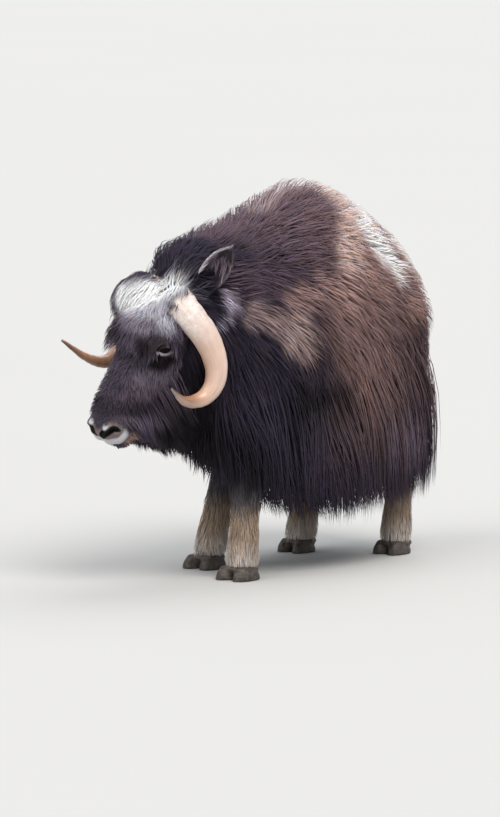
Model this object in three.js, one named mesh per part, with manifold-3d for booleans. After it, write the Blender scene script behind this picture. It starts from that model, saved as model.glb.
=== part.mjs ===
// A young bull muskox at life size, standing with its head lowered and turned a little to its right.
// Millimetres, +Z up. It faces -Y, its left side is +X, and its hooves stand on z = 0.
import * as THREE from "three";
import { mergeVertices } from "three/addons/utils/BufferGeometryUtils.js";
import Module from "manifold-3d";

const wasm = await Module();
wasm.setup();

// Driving dimensions
const GAP = 0.4; // between neighbouring pieces
const HEAD_PLACE = new THREE.Vector3(6, -177, 872); // the poll, between the horns
const HEAD_PITCH = 50; // degrees, nose below the level
const HEAD_YAW = 5; // degrees, towards the animal's right
const HEAD_ROLL = 13.5; // degrees, left side down
const EYE_RADIUS = 19;
const EYE_PLACE = new THREE.Vector3(92, -168, 8);
const EYE_FACES = new THREE.Vector3(0.86, -0.38, 0.34);
const SOLE_LEVEL = 0;
const HOOF_HEIGHT = 58;
const CORONET = 44; // where the hoof ends and the leg begins
const LOCK_SEED = 11;
const LAYER = 11; // every other lock of a row lies this much higher

// Cross-sections of the trunk, half way out into the coat: each row is a place along the body
// with the height of the back, the half width, the height of the widest point, and the underside.
// middle is the sideways place: the body bends a little, as in a turn to its right.
const TRUNK = [
  { y: -150, top: 830, wide: 56, level: 690, low: 590, middle: 0 },
  { y: -125, top: 905, wide: 120, level: 690, low: 510, middle: 0 },
  { y: -70, top: 985, wide: 196, level: 690, low: 430, middle: 0 },
  { y: 20, top: 1058, wide: 242, level: 690, low: 366, middle: 0 },
  { y: 150, top: 1110, wide: 268, level: 685, low: 342, middle: 0 },
  { y: 280, top: 1160, wide: 280, level: 680, low: 332, middle: 0 },
  { y: 400, top: 1198, wide: 282, level: 675, low: 330, middle: -3 },
  { y: 500, top: 1190, wide: 279, level: 675, low: 332, middle: -8 },
  { y: 620, top: 1146, wide: 270, level: 670, low: 338, middle: -20 },
  { y: 740, top: 1078, wide: 256, level: 660, low: 350, middle: -36 },
  { y: 850, top: 988, wide: 232, level: 650, low: 370, middle: -54 },
  { y: 930, top: 892, wide: 196, level: 640, low: 400, middle: -68 },
  { y: 985, top: 806, wide: 142, level: 635, low: 450, middle: -78 },
  { y: 1008, top: 735, wide: 80, level: 630, low: 520, middle: -84 },
];
// The neck, from inside the trunk to the back of the head.
const NECK = [
  { y: 60, top: 1030, wide: 150, level: 790, low: 560, middle: 0 },
  { y: -40, top: 1030, wide: 170, level: 780, low: 470, middle: 0 },
  { y: -110, top: 1025, wide: 160, level: 780, low: 470, middle: 2 },
  { y: -170, top: 1000, wide: 140, level: 780, low: 520, middle: 0 },
  { y: -215, top: 950, wide: 112, level: 780, low: 580, middle: -4 },
  { y: -240, top: 890, wide: 60, level: 780, low: 680, middle: -8 },
];
// The head in its own frame: the poll is the origin, the nose points to -Y and the brow is +Z.
const SKULL = [
  { y: 88, top: -14, wide: 40, level: -64, low: -114 },
  { y: 74, top: 22, wide: 74, level: -66, low: -146 },
  { y: 42, top: 46, wide: 96, level: -68, low: -178 },
  { y: -12, top: 60, wide: 108, level: -72, low: -206 },
  { y: -70, top: 63, wide: 112, level: -76, low: -220 },
  { y: -130, top: 58, wide: 108, level: -80, low: -222 },
  { y: -188, top: 42, wide: 97, level: -84, low: -214 },
  { y: -246, top: 22, wide: 83, level: -88, low: -200 },
  { y: -302, top: 8, wide: 76, level: -92, low: -178 },
  { y: -354, top: -6, wide: 73, level: -90, low: -154 },
  { y: -402, top: -24, wide: 71, level: -90, low: -146 },
  { y: -440, top: -44, wide: 64, level: -92, low: -142 },
  { y: -466, top: -68, wide: 48, level: -97, low: -131 },
  { y: -476, top: -84, wide: 28, level: -102, low: -119 },
];
const JAW = [
  { y: -190, top: -110, wide: 50, level: -160, low: -204 },
  { y: -250, top: -104, wide: 68, level: -152, low: -210 },
  { y: -320, top: -104, wide: 72, level: -150, low: -208 },
  { y: -382, top: -110, wide: 67, level: -150, low: -202 },
  { y: -426, top: -120, wide: 56, level: -152, low: -192 },
  { y: -450, top: -132, wide: 34, level: -154, low: -178 },
];
// The middle line of a horn in the head's frame, with its half widths along and through the horn.
const HORN = [
  { at: [16, -4, 46], wide: 48, deep: 18 },
  { at: [56, -12, 57], wide: 52, deep: 26 },
  { at: [100, -27, 50], wide: 50, deep: 33 },
  { at: [139, -39, 21], wide: 46, deep: 36 },
  { at: [170, -52, -22], wide: 43, deep: 36 },
  { at: [192, -74, -72], wide: 39, deep: 34 },
  { at: [206, -104, -115], wide: 35, deep: 32 },
  { at: [211, -145, -143], wide: 31, deep: 29 },
  { at: [208, -192, -146], wide: 26, deep: 25 },
  { at: [207, -234, -115], wide: 20, deep: 19 },
  { at: [222, -262, -55], wide: 13, deep: 12 },
  { at: [252, -277, 40], wide: 4, deep: 4 },
];
// The ears: root and tip in the head's frame, and the way the hollow faces. The right one is laid back.
const EARS = {
  left: { root: [96, 92, 38], tip: [162, 196, 112], faces: [0.5, -0.7, 0.52] },
  right: { root: [-96, 92, 30], tip: [-178, 161, -50], faces: [-0.69, -0.65, 0.2] },
};
const EAR_WIDTH = 66;

const vec = (x, y, z) => new THREE.Vector3(x, y, z);
const UP = vec(0, 0, 1);
const clamp = (v, lo, hi) => Math.min(hi, Math.max(lo, v));
const degrees = THREE.MathUtils.degToRad;

// Repeatable random numbers in 0..1.
function seeded(seed) {
  let state = seed;
  return () => {
    state = (state * 1664525 + 1013904223) % 4294967296;
    return state / 4294967296;
  };
}

// A smooth function through the rows' values of one key, along their y.
function smoothRows(rows, key) {
  const at = rows.map((row) => row.y);
  const value = rows.map((row) => row[key] ?? 0);
  const slope = value.map((v, i) => {
    const before = Math.max(i - 1, 0);
    const after = Math.min(i + 1, value.length - 1);
    return (value[after] - value[before]) / (at[after] - at[before]);
  });
  const rising = at[1] > at[0] ? 1 : -1;
  return (y) => {
    const last = at.length - 1;
    if ((y - at[0]) * rising <= 0) return value[0];
    if ((y - at[last]) * rising >= 0) return value[last];
    const i = at.findIndex((a, k) => k > 0 && (y - a) * rising <= 0) - 1;
    const span = at[i + 1] - at[i];
    const t = (y - at[i]) / span;
    const [t2, t3] = [t * t, t * t * t];
    return (
      (2 * t3 - 3 * t2 + 1) * value[i] +
      (t3 - 2 * t2 + t) * span * slope[i] +
      (3 * t2 - 2 * t3) * value[i + 1] +
      (t3 - t2) * span * slope[i + 1]
    );
  };
}

// A body of rounded cross-sections across Y, such as the trunk. power shapes them: 2 is an ellipse, more
// is squarer.
class Barrel {
  constructor(rows, powerAbove, powerBelow) {
    this.rows = rows;
    this.powers = [powerAbove, powerBelow];
    for (const key of ["top", "wide", "level", "low", "middle"]) this[key] = smoothRows(rows, key);
    this.from = Math.min(rows[0].y, rows.at(-1).y);
    this.to = Math.max(rows[0].y, rows.at(-1).y);
  }

  // The surface at y and an angle from the top, in radians, grown outwards by some millimetres.
  point(y, angle, grow = 0) {
    const [s, c] = [Math.sin(angle), Math.cos(angle)];
    const power = this.powers[c >= 0 ? 0 : 1];
    const rise = c >= 0 ? this.top(y) - this.level(y) : this.level(y) - this.low(y);
    const across = Math.sign(s) * Math.abs(s) ** (2 / power) * (this.wide(y) + grow);
    const up = Math.sign(c) * Math.abs(c) ** (2 / power) * (rise + grow);
    return vec(this.middle(y) + across, y, this.level(y) + up);
  }

  // About how far a point lies outside the surface; negative inside.
  distance(p) {
    const y = clamp(p.y, this.from, this.to);
    const [x, z] = [p.x - this.middle(y), p.z - this.level(y)];
    const rise = z >= 0 ? this.top(y) - this.level(y) : this.level(y) - this.low(y);
    const power = this.powers[z >= 0 ? 0 : 1];
    const share = ((Math.abs(x) / this.wide(y)) ** power + (Math.abs(z) / rise) ** power) ** (1 / power);
    const reach = Math.hypot(x, z);
    const across = share > 1e-6 ? reach * (1 - 1 / share) : -rise;
    return across > 0 ? Math.hypot(across, p.y - y) : Math.max(across, Math.abs(p.y - y) > 0 ? 1 : across);
  }

  geometry(rings, sides, grow = 0) {
    const rows = [];
    for (let i = 0; i <= rings; i++) {
      const t = i / rings;
      const along = t - (Math.sin(2 * Math.PI * t) / (2 * Math.PI)) * 0.55; // closer rings at the ends
      const y = this.from + (this.to - this.from) * along;
      const stretch = (along - 0.5) * 2 * grow;
      const row = [];
      for (let k = 0; k < sides; k++) {
        const p = this.point(y, (2 * Math.PI * (k + 0.5)) / sides, grow);
        row.push(vec(p.x, p.y + stretch, p.z));
      }
      rows.push(row);
    }
    return closedLoft(rows);
  }
}

// A closed surface through rings of the same number of points, with a flat fan at each end.
// A ring of one point is a tip.
function closedLoft(rings) {
  const points = [];
  const starts = rings.map((ring) => points.push(...ring) - ring.length);
  const faces = [];
  const cap = (ring, start, flip) => {
    if (ring.length === 1) return;
    const centre = ring.reduce((sum, p) => sum.add(p), vec(0, 0, 0)).divideScalar(ring.length);
    const c = points.push(centre) - 1;
    ring.forEach((_, k) => {
      const [a, b] = [start + k, start + ((k + 1) % ring.length)];
      faces.push(flip ? [c, b, a] : [c, a, b]);
    });
  };
  cap(rings[0], starts[0], true);
  for (let i = 0; i + 1 < rings.length; i++) {
    const sides = Math.max(rings[i].length, rings[i + 1].length);
    for (let k = 0; k < sides; k++) {
      const next = (k + 1) % sides;
      const at = (row, n) => starts[row] + (rings[row].length === 1 ? 0 : n);
      if (rings[i].length > 1) faces.push([at(i, k), at(i, next), at(i + 1, k)]);
      if (rings[i + 1].length > 1) faces.push([at(i, next), at(i + 1, next), at(i + 1, k)]);
    }
  }
  cap(rings.at(-1), starts.at(-1), false);
  const made = new THREE.BufferGeometry();
  made.setAttribute("position", new THREE.Float32BufferAttribute(points.flatMap((p) => p.toArray()), 3));
  made.setIndex(faces.flat());
  return made;
}

// A closed geometry as a solid, turned right side out if need be.
function solid(geometry) {
  const bare = geometry.index ? geometry.toNonIndexed() : geometry.clone();
  bare.deleteAttribute("normal");
  bare.deleteAttribute("uv");
  const merged = mergeVertices(bare, 1e-3);
  const vertProperties = merged.attributes.position.array;
  const turned = (flip) => {
    const triVerts = new Uint32Array(merged.index.array);
    for (let i = 0; flip && i < triVerts.length; i += 3)
      [triVerts[i + 1], triVerts[i + 2]] = [triVerts[i + 2], triVerts[i + 1]];
    return new wasm.Manifold(new wasm.Mesh({ numProp: 3, vertProperties, triVerts }));
  };
  const made = turned(false);
  return made.volume() < 0 ? turned(true) : made;
}

const union = (solids) => wasm.Manifold.union(solids);
// The largest closed surface of a solid: crumbs that a cut leaves loose are dropped.
const largest = (made) => made.decompose().sort((a, b) => b.volume() - a.volume())[0];

function geometryOf(made) {
  const mesh = made.getMesh();
  const position = new Float32Array(mesh.numVert * 3);
  for (let i = 0; i < mesh.numVert; i++)
    position.set(mesh.vertProperties.subarray(i * mesh.numProp, i * mesh.numProp + 3), i * 3);
  const geometry = new THREE.BufferGeometry();
  geometry.setAttribute("position", new THREE.BufferAttribute(position, 3));
  geometry.setIndex(new THREE.BufferAttribute(mesh.triVerts, 1));
  return geometry;
}

const moved = (made, matrix) => made.transform(matrix.elements);

// A tube whose round or flattened section changes along a path of stations {at, wide, deep}.
// across is the direction of the first station's width; it is carried along without twist.
function tube(stations, across, sides, grow = 0, pointed = true, perSpan = 3) {
  const curve = new THREE.CatmullRomCurve3(stations.map((s) => s.at), false, "centripetal");
  const steps = (stations.length - 1) * perSpan;
  const rings = [];
  let side = across.clone();
  for (let i = 0; i <= steps; i++) {
    const u = i / steps;
    const place = curve.getPoint(u);
    const along = curve.getTangent(u);
    side = side.clone().addScaledVector(along, -side.dot(along)).normalize();
    const over = along.clone().cross(side);
    const k = Math.min(Math.floor(u * (stations.length - 1)), stations.length - 2);
    const t = u * (stations.length - 1) - k;
    const half = (key) => THREE.MathUtils.lerp(stations[k][key], stations[k + 1][key], t) + grow;
    if (i === steps && pointed) {
      rings.push([place.addScaledVector(along, grow * 3)]);
      break;
    }
    const ring = [];
    for (let n = 0; n < sides; n++) {
      const a = (2 * Math.PI * n) / sides;
      const rim = place.clone().addScaledVector(side, Math.cos(a) * half("wide"));
      ring.push(rim.addScaledVector(over, Math.sin(a) * half("deep")));
    }
    rings.push(ring);
  }
  return closedLoft(rings);
}

function ellipsoid(centre, radii, turn = [0, 0, 0], grow = 0, wide = 14, high = 9) {
  return new THREE.SphereGeometry(1, wide, high)
    .scale(radii[0] + grow, radii[1] + grow, radii[2] + grow)
    .applyMatrix4(new THREE.Matrix4().makeRotationFromEuler(new THREE.Euler(...turn.map(degrees))))
    .translate(...centre);
}

// Shapes of the body without its coat's locks
const trunk = new Barrel(TRUNK, 2.0, 2.7);
const neck = new Barrel(NECK, 2.0, 2.2);
const skull = new Barrel(SKULL, 2.8, 2.4);
const jaw = new Barrel(JAW, 3.2, 2.3);

const headTurn = new THREE.Euler(degrees(HEAD_PITCH), degrees(HEAD_ROLL), degrees(-HEAD_YAW), "ZYX");
const headMatrix = new THREE.Matrix4().makeRotationFromEuler(headTurn).setPosition(HEAD_PLACE);

// LEGS: each is a column of sections from the floor upwards, leaning between its hoof and its root.
const LEGS = {
  front_left: { hoof: [132, 0], knee: [134, 26], root: [138, 110], hind: false },
  front_right: { hoof: [-128, 145], knee: [-134, 255], root: [-140, 265], hind: false },
  hind_left: { hoof: [98, 812], knee: [94, 846], root: [86, 760], hind: true },
  hind_right: { hoof: [-168, 650], knee: [-168, 715], root: [-160, 680], hind: true },
};
const SHANK = { pastern: 48, fetlock: 92, cannon: 190, knee: 330, root: 520 };

function legStations({ hoof, knee, root, hind }) {
  const at = (share, z) =>
    vec(THREE.MathUtils.lerp(hoof[0], knee[0], share), THREE.MathUtils.lerp(hoof[1], knee[1], share), z);
  return [
    { at: at(-0.05, CORONET - 10), wide: 50, deep: 53 },
    { at: at(0.02, SHANK.pastern + 12), wide: 53, deep: 56 },
    { at: at(0.15, SHANK.fetlock), wide: 54, deep: 58 },
    { at: at(0.45, SHANK.cannon), wide: hind ? 47 : 49, deep: 52 },
    { at: at(0.8, SHANK.knee - 60), wide: 54, deep: 60 },
    { at: at(1, SHANK.knee + 10), wide: 58, deep: hind ? 72 : 64 },
    { at: vec(root[0], root[1], SHANK.root), wide: 62, deep: 90 },
  ];
}
const legShape = (name, grow = 0) => solid(tube(legStations(LEGS[name]), vec(1, 0, 0), 10, grow, false, 1));

// One cloven hoof: two claws side by side, joined by the band above them.
function hoofShape(name) {
  const { hoof, hind } = LEGS[name];
  const [halfWide, halfLong] = hind ? [30, 56] : [34, 62];
  const claw = (side) => {
    const tip = vec(side * halfWide * 0.9, -12, 0);
    return solid(ellipsoid(tip.toArray(), [halfWide, halfLong, HOOF_HEIGHT], [0, 0, side * 6], 0, 9, 6));
  };
  const band = solid(ellipsoid([0, 2, HOOF_HEIGHT * 0.6], [54, 56, 24], [0, 0, 0], 0, 10, 4));
  return union([claw(1), claw(-1), band])
    .trimByPlane([0, 0, 1], SOLE_LEVEL)
    .trimByPlane([0, 0, -1], -(CORONET - GAP))
    .translate([hoof[0], hoof[1] - 4, 0]);
}

// HEAD PARTS, in the head's frame
const mirrored = (made, side) => (side > 0 ? made : made.mirror([1, 0, 0]));

function hornShape(side, grow = 0) {
  const stations = HORN.map(({ at, wide, deep }) => ({ at: vec(...at), wide, deep }));
  return mirrored(solid(tube(stations, vec(0, 1, 0), 10, grow, true, 2)), side);
}

// Places a shape whose +Z runs from the ear's root to its tip and whose hollow faces -Y.
function inEarFrame(made, label) {
  const { root, tip, faces } = EARS[label];
  const along = vec(...tip).sub(vec(...root)).normalize();
  const front = vec(...faces);
  const back = front.addScaledVector(along, -front.dot(along)).normalize().negate();
  const across = back.clone().cross(along);
  return moved(made, new THREE.Matrix4().makeBasis(across, back, along).setPosition(vec(...root)));
}

const earLength = vec(...EARS.left.tip).distanceTo(vec(...EARS.left.root));
function earShape(label, grow = 0) {
  const half = EAR_WIDTH / 2;
  const stations = [
    { at: vec(0, 0, -12), wide: half * 0.62, deep: 17 },
    { at: vec(2, 0, earLength * 0.2), wide: half * 0.82, deep: 18 },
    { at: vec(4, 2, earLength * 0.45), wide: half, deep: 17 },
    { at: vec(2, 5, earLength * 0.72), wide: half * 0.78, deep: 13 },
    { at: vec(-2, 8, earLength), wide: 5, deep: 4 },
  ];
  return inEarFrame(solid(tube(stations, vec(1, 0, 0), 10, grow, true, 1)), label);
}

// The hollow of the ear.
function earCup(label) {
  const radii = [EAR_WIDTH * 0.37, 16, earLength * 0.37];
  return inEarFrame(solid(ellipsoid([3, -12, earLength * 0.5], radii, [-4, 0, 0], 0, 10, 6)), label);
}

const eyeShape = (side, grow = 0) =>
  mirrored(solid(ellipsoid(EYE_PLACE.toArray(), Array(3).fill(EYE_RADIUS), [0, 0, 0], grow, 12, 7)), side);

// A ring of lid round the eye, open in the middle.
function lidRing(side) {
  const look = EYE_FACES.clone().normalize();
  const turn = new THREE.Quaternion().setFromUnitVectors(vec(0, 0, 1), look);
  const ring = new THREE.TorusGeometry(EYE_RADIUS * 0.95, 7, 4, 10)
    .scale(1.2, 0.82, 1)
    .rotateZ(degrees(-52))
    .applyQuaternion(turn)
    .translate(...EYE_PLACE.clone().addScaledVector(look, 9).toArray());
  return mirrored(solid(ring), side);
}

// A nostril is shaped like a comma, with its tail at the outer end.
const NOSTRIL = [
  { at: vec(17, -476, -84), wide: 4, deep: 5 },
  { at: vec(25, -466, -74), wide: 9, deep: 12 },
  { at: vec(42, -451, -66), wide: 11, deep: 14 },
  { at: vec(57, -434, -66), wide: 8, deep: 11 },
  { at: vec(67, -428, -84), wide: 3, deep: 5 },
];
const nostril = (side) => mirrored(solid(tube(NOSTRIL, vec(0, 0.4, 1), 7, 0, true, 1)), side);

function skullShape(grow = 0) {
  return union([solid(skull.geometry(16, 18, grow)), solid(jaw.geometry(7, 12, grow))]);
}

// The bony rim that the eye sits in, standing out from the face.
const ORBIT = { at: [64, -158, 2], radii: [47, 46, 40] };

function headCore(locks) {
  const orbit = (side) => mirrored(solid(ellipsoid(ORBIT.at, ORBIT.radii, [0, 20, 0], 0, 10, 6)), side);
  const parts = [skullShape(), ...blades(locks)];
  for (const side of [1, -1]) parts.push(orbit(side), lidRing(side));
  let made = union(parts);
  for (const side of [1, -1]) made = made.subtract(nostril(side)).subtract(eyeShape(side, GAP));
  return made;
}

// LOCKS OF THE COAT
// A lock is a flat, tapered blade. It is described by its path, the outward direction along it and its size.
const random = seeded(LOCK_SEED);
const vary = (share) => 1 + share * (2 * random() - 1);

function blade({ path, outward, halfWide, halfThick, blunt }, grow = 0) {
  const last = path.length - 1;
  const rings = path.map((p, i) => {
    const t = i / last;
    const along = path[Math.min(i + 1, last)].clone().sub(path[Math.max(i - 1, 0)]).normalize();
    if (i === last) return [p.clone().addScaledVector(along, grow * 8)];
    if (i === 0) p = p.clone().addScaledVector(along, -grow);
    const side = along.clone().cross(outward[i]).normalize();
    const up = side.clone().cross(along).normalize();
    const taper = t < 0.35 ? 0.75 + 0.7 * t : 1 - ((t - 0.35) / 0.65) ** blunt * 0.86;
    const wide = halfWide * taper + grow * 6; // the edges are sharp, so they grow more
    const thick = halfThick * (1 - 0.55 * t);
    return [
      p.clone().addScaledVector(side, wide).addScaledVector(up, -thick * 0.5),
      p.clone().addScaledVector(up, thick + grow * 1.6),
      p.clone().addScaledVector(side, -wide).addScaledVector(up, -thick * 0.5),
      p.clone().addScaledVector(up, -thick - grow * 1.6),
    ];
  });
  return solid(closedLoft(rings));
}
const blades = (locks, grow = 0) => locks.map((lock) => blade(lock, grow));

// The outward direction of a surface, from its distance function.
function outwardOf(distance, p) {
  const step = 4;
  const slope = (offset) => distance(p.clone().add(offset)) - distance(p.clone().sub(offset));
  const n = vec(slope(vec(step, 0, 0)), slope(vec(0, step, 0)), slope(vec(0, 0, step)));
  return n.lengthSq() > 0 ? n.normalize() : vec(0, 0, 1);
}

// A lock that starts under the surface and lies along the coat. hug is how closely it follows a surface
// that turns away from it, lift its distance from the surface at its root and tip.
function growLock(root, distance, lie, options) {
  const { length, wide, thick = 8, steps = 4, sink = 14, lift, hug, blunt = 1.9 } = options;
  const first = outwardOf(distance, root);
  const path = [root.clone().addScaledVector(first, -sink)];
  const outward = [first];
  let p = root.clone().addScaledVector(first, lift[0] * 0.3);
  for (let i = 1; i <= steps; i++) {
    const n = outwardOf(distance, p);
    const way = lie(p, i / steps);
    const leaving = way.dot(n);
    way.addScaledVector(n, -leaving * (leaving < 0 ? 1 : hug)).normalize();
    p = p.clone().addScaledVector(way, length / steps);
    const short = THREE.MathUtils.lerp(lift[0], lift[1], i / steps) - distance(p);
    const out = outwardOf(distance, p);
    if (short > 0) p.addScaledVector(out, Math.min(short, (length / steps) * 0.6));
    else if (hug > 0.5) p.addScaledVector(out, short * 0.7);
    path.push(p.clone());
    outward.push(out);
  }
  outward[0] = outward[1]; // no twist at the root
  return { path, outward, halfWide: wide / 2, halfThick: thick, blunt };
}

// A row of locks on a barrel: between two places along it, at an angle from its top, on one side.
// A row without a length hangs down to the hem, or ends up to so many millimetres above it.
function lockRow(barrel, lie, side, row) {
  const { from, to, count, angle, length, wide, above = 20, jitter = 0.12, ...rest } = row;
  const locks = [];
  for (let i = 0; i < count; i++) {
    const share = count > 1 ? i / (count - 1) : 0.5;
    const y = THREE.MathUtils.lerp(from, to, share) + ((to - from) / count) * 0.3 * (2 * random() - 1);
    const around = degrees(angle * vary(0.07)) * side;
    const root = barrel.point(y, around);
    const reach = length ?? (root.z - hem(root.x, root.y)) * 1.02 - above * random();
    const sized = { length: reach * vary(length ? jitter * 1.4 : 0.04), wide: wide * vary(jitter) };
    const layered = rest.lift.map((lift) => lift + (i % 2) * LAYER);
    locks.push(growLock(root, (p) => barrel.distance(p), lie, { ...sized, ...rest, lift: layered }));
  }
  return locks;
}

// The height of the hem of the skirt, which rises to the chest and, more, on the right of the chest.
const HEM = [
  { y: -150, left: 322, right: 405 },
  { y: -60, left: 262, right: 392 },
  { y: 0, left: 222, right: 378 },
  { y: 100, left: 180, right: 340 },
  { y: 220, left: 155, right: 288 },
  { y: 400, left: 148, right: 225 },
  { y: 600, left: 165, right: 180 },
  { y: 800, left: 190, right: 190 },
  { y: 950, left: 262, right: 262 },
  { y: 1040, left: 290, right: 290 },
];
const hemLeft = smoothRows(HEM, "left");
const hemRight = smoothRows(HEM, "right");
const hem = (x, y) => THREE.MathUtils.lerp(hemRight(y), hemLeft(y), THREE.MathUtils.smoothstep(x, -150, 150));

// How steeply the hair falls at a height, in radians below the level, and the way it lies on the trunk.
const fall = (z) => degrees(THREE.MathUtils.lerp(22, 84, THREE.MathUtils.smoothstep(1150 - z, 0, 560)));
function trunkLie(p) {
  const steep = Math.max(fall(p.z), degrees(80) * THREE.MathUtils.smoothstep(p.y, 820, 1040));
  const chest = 1 - THREE.MathUtils.smoothstep(p.y, -120, 20);
  const turn = steep + (degrees(90) - steep) * chest * 0.7;
  return vec(0, Math.cos(turn), -Math.sin(turn)).applyAxisAngle(UP, degrees(5) * (2 * random() - 1));
}

const TRUNK_ROWS = [
  { from: -30, to: 930, count: 9, angle: 107, wide: 132, lift: [12, 20], hug: 0.1, blunt: 3 },
  { from: -40, to: 880, count: 8, angle: 89, wide: 122, above: 70, lift: [12, 34], hug: 0.15, blunt: 2.4 },
  { from: -20, to: 850, count: 7, angle: 70, length: 290, wide: 126, lift: [10, 30], hug: 0.35, steps: 3 },
  { from: 10, to: 820, count: 6, angle: 48, length: 290, wide: 128, lift: [6, 24], hug: 0.6, steps: 3 },
  { from: 30, to: 800, count: 5, angle: 25, length: 300, wide: 140, lift: [0, 16], hug: 0.8, steps: 3 },
];
const SPINE_ROW = { from: 20, to: 790, count: 6, angle: 0, length: 270, wide: 130, lift: [-6, 2], hug: 0.9 };
const SHOULDER_ROWS = [
  { from: -66, to: 40, count: 3, angle: 112, wide: 104, lift: [14, 58], hug: 0, blunt: 2.4 },
];
const REAR_ROWS = [
  { from: 980, to: 980, count: 1, angle: 108, wide: 116, lift: [12, 104], hug: 0, blunt: 2.4 },
  { from: 960, to: 960, count: 1, angle: 66, length: 320, wide: 110, lift: [8, 56], hug: 0.2 },
  { from: 945, to: 945, count: 1, angle: 30, length: 250, wide: 104, lift: [8, 26], hug: 0.6, steps: 3 },
];
const CHEST_ROWS = [
  { from: -96, to: -70, count: 2, angle: 130, wide: 96, lift: [10, 18], hug: 0, blunt: 2.4, steps: 3 },
  { from: -90, to: -90, count: 1, angle: 160, wide: 110, lift: [10, 18], hug: 0, blunt: 2.4, steps: 3 },
];

// On the flat end of the trunk, below the tail: where each lock is rooted.
const RUMP_LOCKS = [
  { x: -134, z: 716, wide: 96, out: 26 },
  { x: -34, z: 716, wide: 96, out: 26 },
  { x: -84, z: 640, wide: 110, out: 14 },
];
function rumpLock({ x, z, wide, out }) {
  const [inside, face, middle] = [990, 1010, -84];
  const drop = (z - hem(x, face)) / 3;
  const path = [vec(x, inside, z)];
  for (const i of [1, 2, 3])
    path.push(vec(x + (x - middle) * 0.1 * i, face + out * (1 - 0.2 * i), z - drop * i));
  return { path, outward: path.map(() => vec(0, 1, 0.1)), halfWide: wide / 2, halfThick: 8, blunt: 2.4 };
}

// Under the chest and the belly
const UNDER_ROWS = [
  { from: 0, to: 130, count: 2, angle: 164, length: 110, wide: 116, lift: [8, 16], hug: 0, steps: 3 },
  { from: 320, to: 860, count: 3, angle: 160, length: 130, wide: 130, lift: [8, 16], hug: 0, steps: 3 },
];

function trunkLocks() {
  const locks = [];
  for (const side of [1, -1])
    for (const row of [...TRUNK_ROWS, ...SHOULDER_ROWS, ...REAR_ROWS, ...CHEST_ROWS, ...UNDER_ROWS])
      locks.push(...lockRow(trunk, trunkLie, side, row));
  return [...locks, ...RUMP_LOCKS.map(rumpLock), ...lockRow(trunk, trunkLie, 1, SPINE_ROW)];
}

// On the neck the hair runs back and down; under the throat it hangs.
function neckLie(p) {
  const steep = degrees(THREE.MathUtils.lerp(14, 80, THREE.MathUtils.smoothstep(1040 - p.z, 0, 420)));
  return vec(0, Math.cos(steep), -Math.sin(steep)).applyAxisAngle(UP, degrees(8) * (2 * random() - 1));
}
const NECK_ROWS = [
  { from: -190, to: -80, count: 2, angle: 26, length: 190, wide: 92, lift: [8, 26], hug: 0.7, steps: 3 },
  { from: -170, to: -80, count: 2, angle: 54, length: 190, wide: 96, lift: [10, 32], hug: 0.6, steps: 3 },
  { from: -122, to: -122, count: 1, angle: 82, length: 170, wide: 100, lift: [10, 26], hug: 0.5, steps: 3 },
];
const THROAT_ROWS = [
  { from: -122, to: -122, count: 1, angle: 110, wide: 104, lift: [12, 24], hug: 0, blunt: 2.4 },
  { from: -180, to: -180, count: 1, angle: 155, length: 130, wide: 96, lift: [10, 16], hug: 0, steps: 3 },
  { from: -176, to: -176, count: 1, angle: 112, length: 160, wide: 96, lift: [10, 18], hug: 0.1, steps: 3 },
];
const NAPE_ROW = {
  from: -180, to: -110, count: 2, angle: 0, length: 170, wide: 90, lift: [8, 30], hug: 0.7, steps: 3,
};
function neckLocks() {
  const locks = [];
  for (const side of [1, -1])
    for (const row of [...NECK_ROWS, ...THROAT_ROWS]) locks.push(...lockRow(neck, neckLie, side, row));
  return [...locks, ...lockRow(neck, neckLie, 1, NAPE_ROW)];
}

// On the head, in its own frame, the forelock fans out from the crown over the brow, longer on the right;
// the hair of the cheeks runs down and back, and the beard hangs.
const DOWN = vec(0, 0, -1).transformDirection(headMatrix.clone().invert());
function headLock(y, angle, lie, options) {
  const root = skull.point(y, degrees(angle));
  const sized = { hug: 0.8, thick: 7, steps: 3, ...options };
  return growLock(root, (p) => skull.distance(p), () => lie.clone(), sized);
}
// Each lock of the head: where it is rooted, its side angle from the brow's middle, and which way it lies.
const FORELOCKS = [
  { y: 30, angles: [-14, 0, 14], spread: 1, length: 170, wide: 54, lift: [20, 34] },
  { y: -52, angles: [-30, 30], spread: 0.8, length: 118, wide: 60, lift: [14, 34] },
  { y: -30, angles: [-66, -48], spread: 0.6, length: 185, wide: 66, lift: [14, 60] },
  { y: -66, angles: [54], spread: 0.6, length: 76, wide: 60, lift: [10, 22] },
  { y: -172, angles: [-70], spread: 0.12, length: 150, wide: 66, lift: [10, 30] },
  { y: -250, angles: [-38, 0, 38], spread: 0.3, length: 84, wide: 52, lift: [6, 14] },
];
const CHEEK_LOCKS = [
  { y: -84, angle: 108, length: 130, wide: 66 },
  { y: -140, angle: 136, length: 120, wide: 64 },
  { y: -216, angle: 112, length: 110, wide: 60 },
];
const CHIN_LOCKS = [
  { y: -236, angle: 160, length: 92 },
  { y: -300, angle: 180, length: 84 },
];
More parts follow.
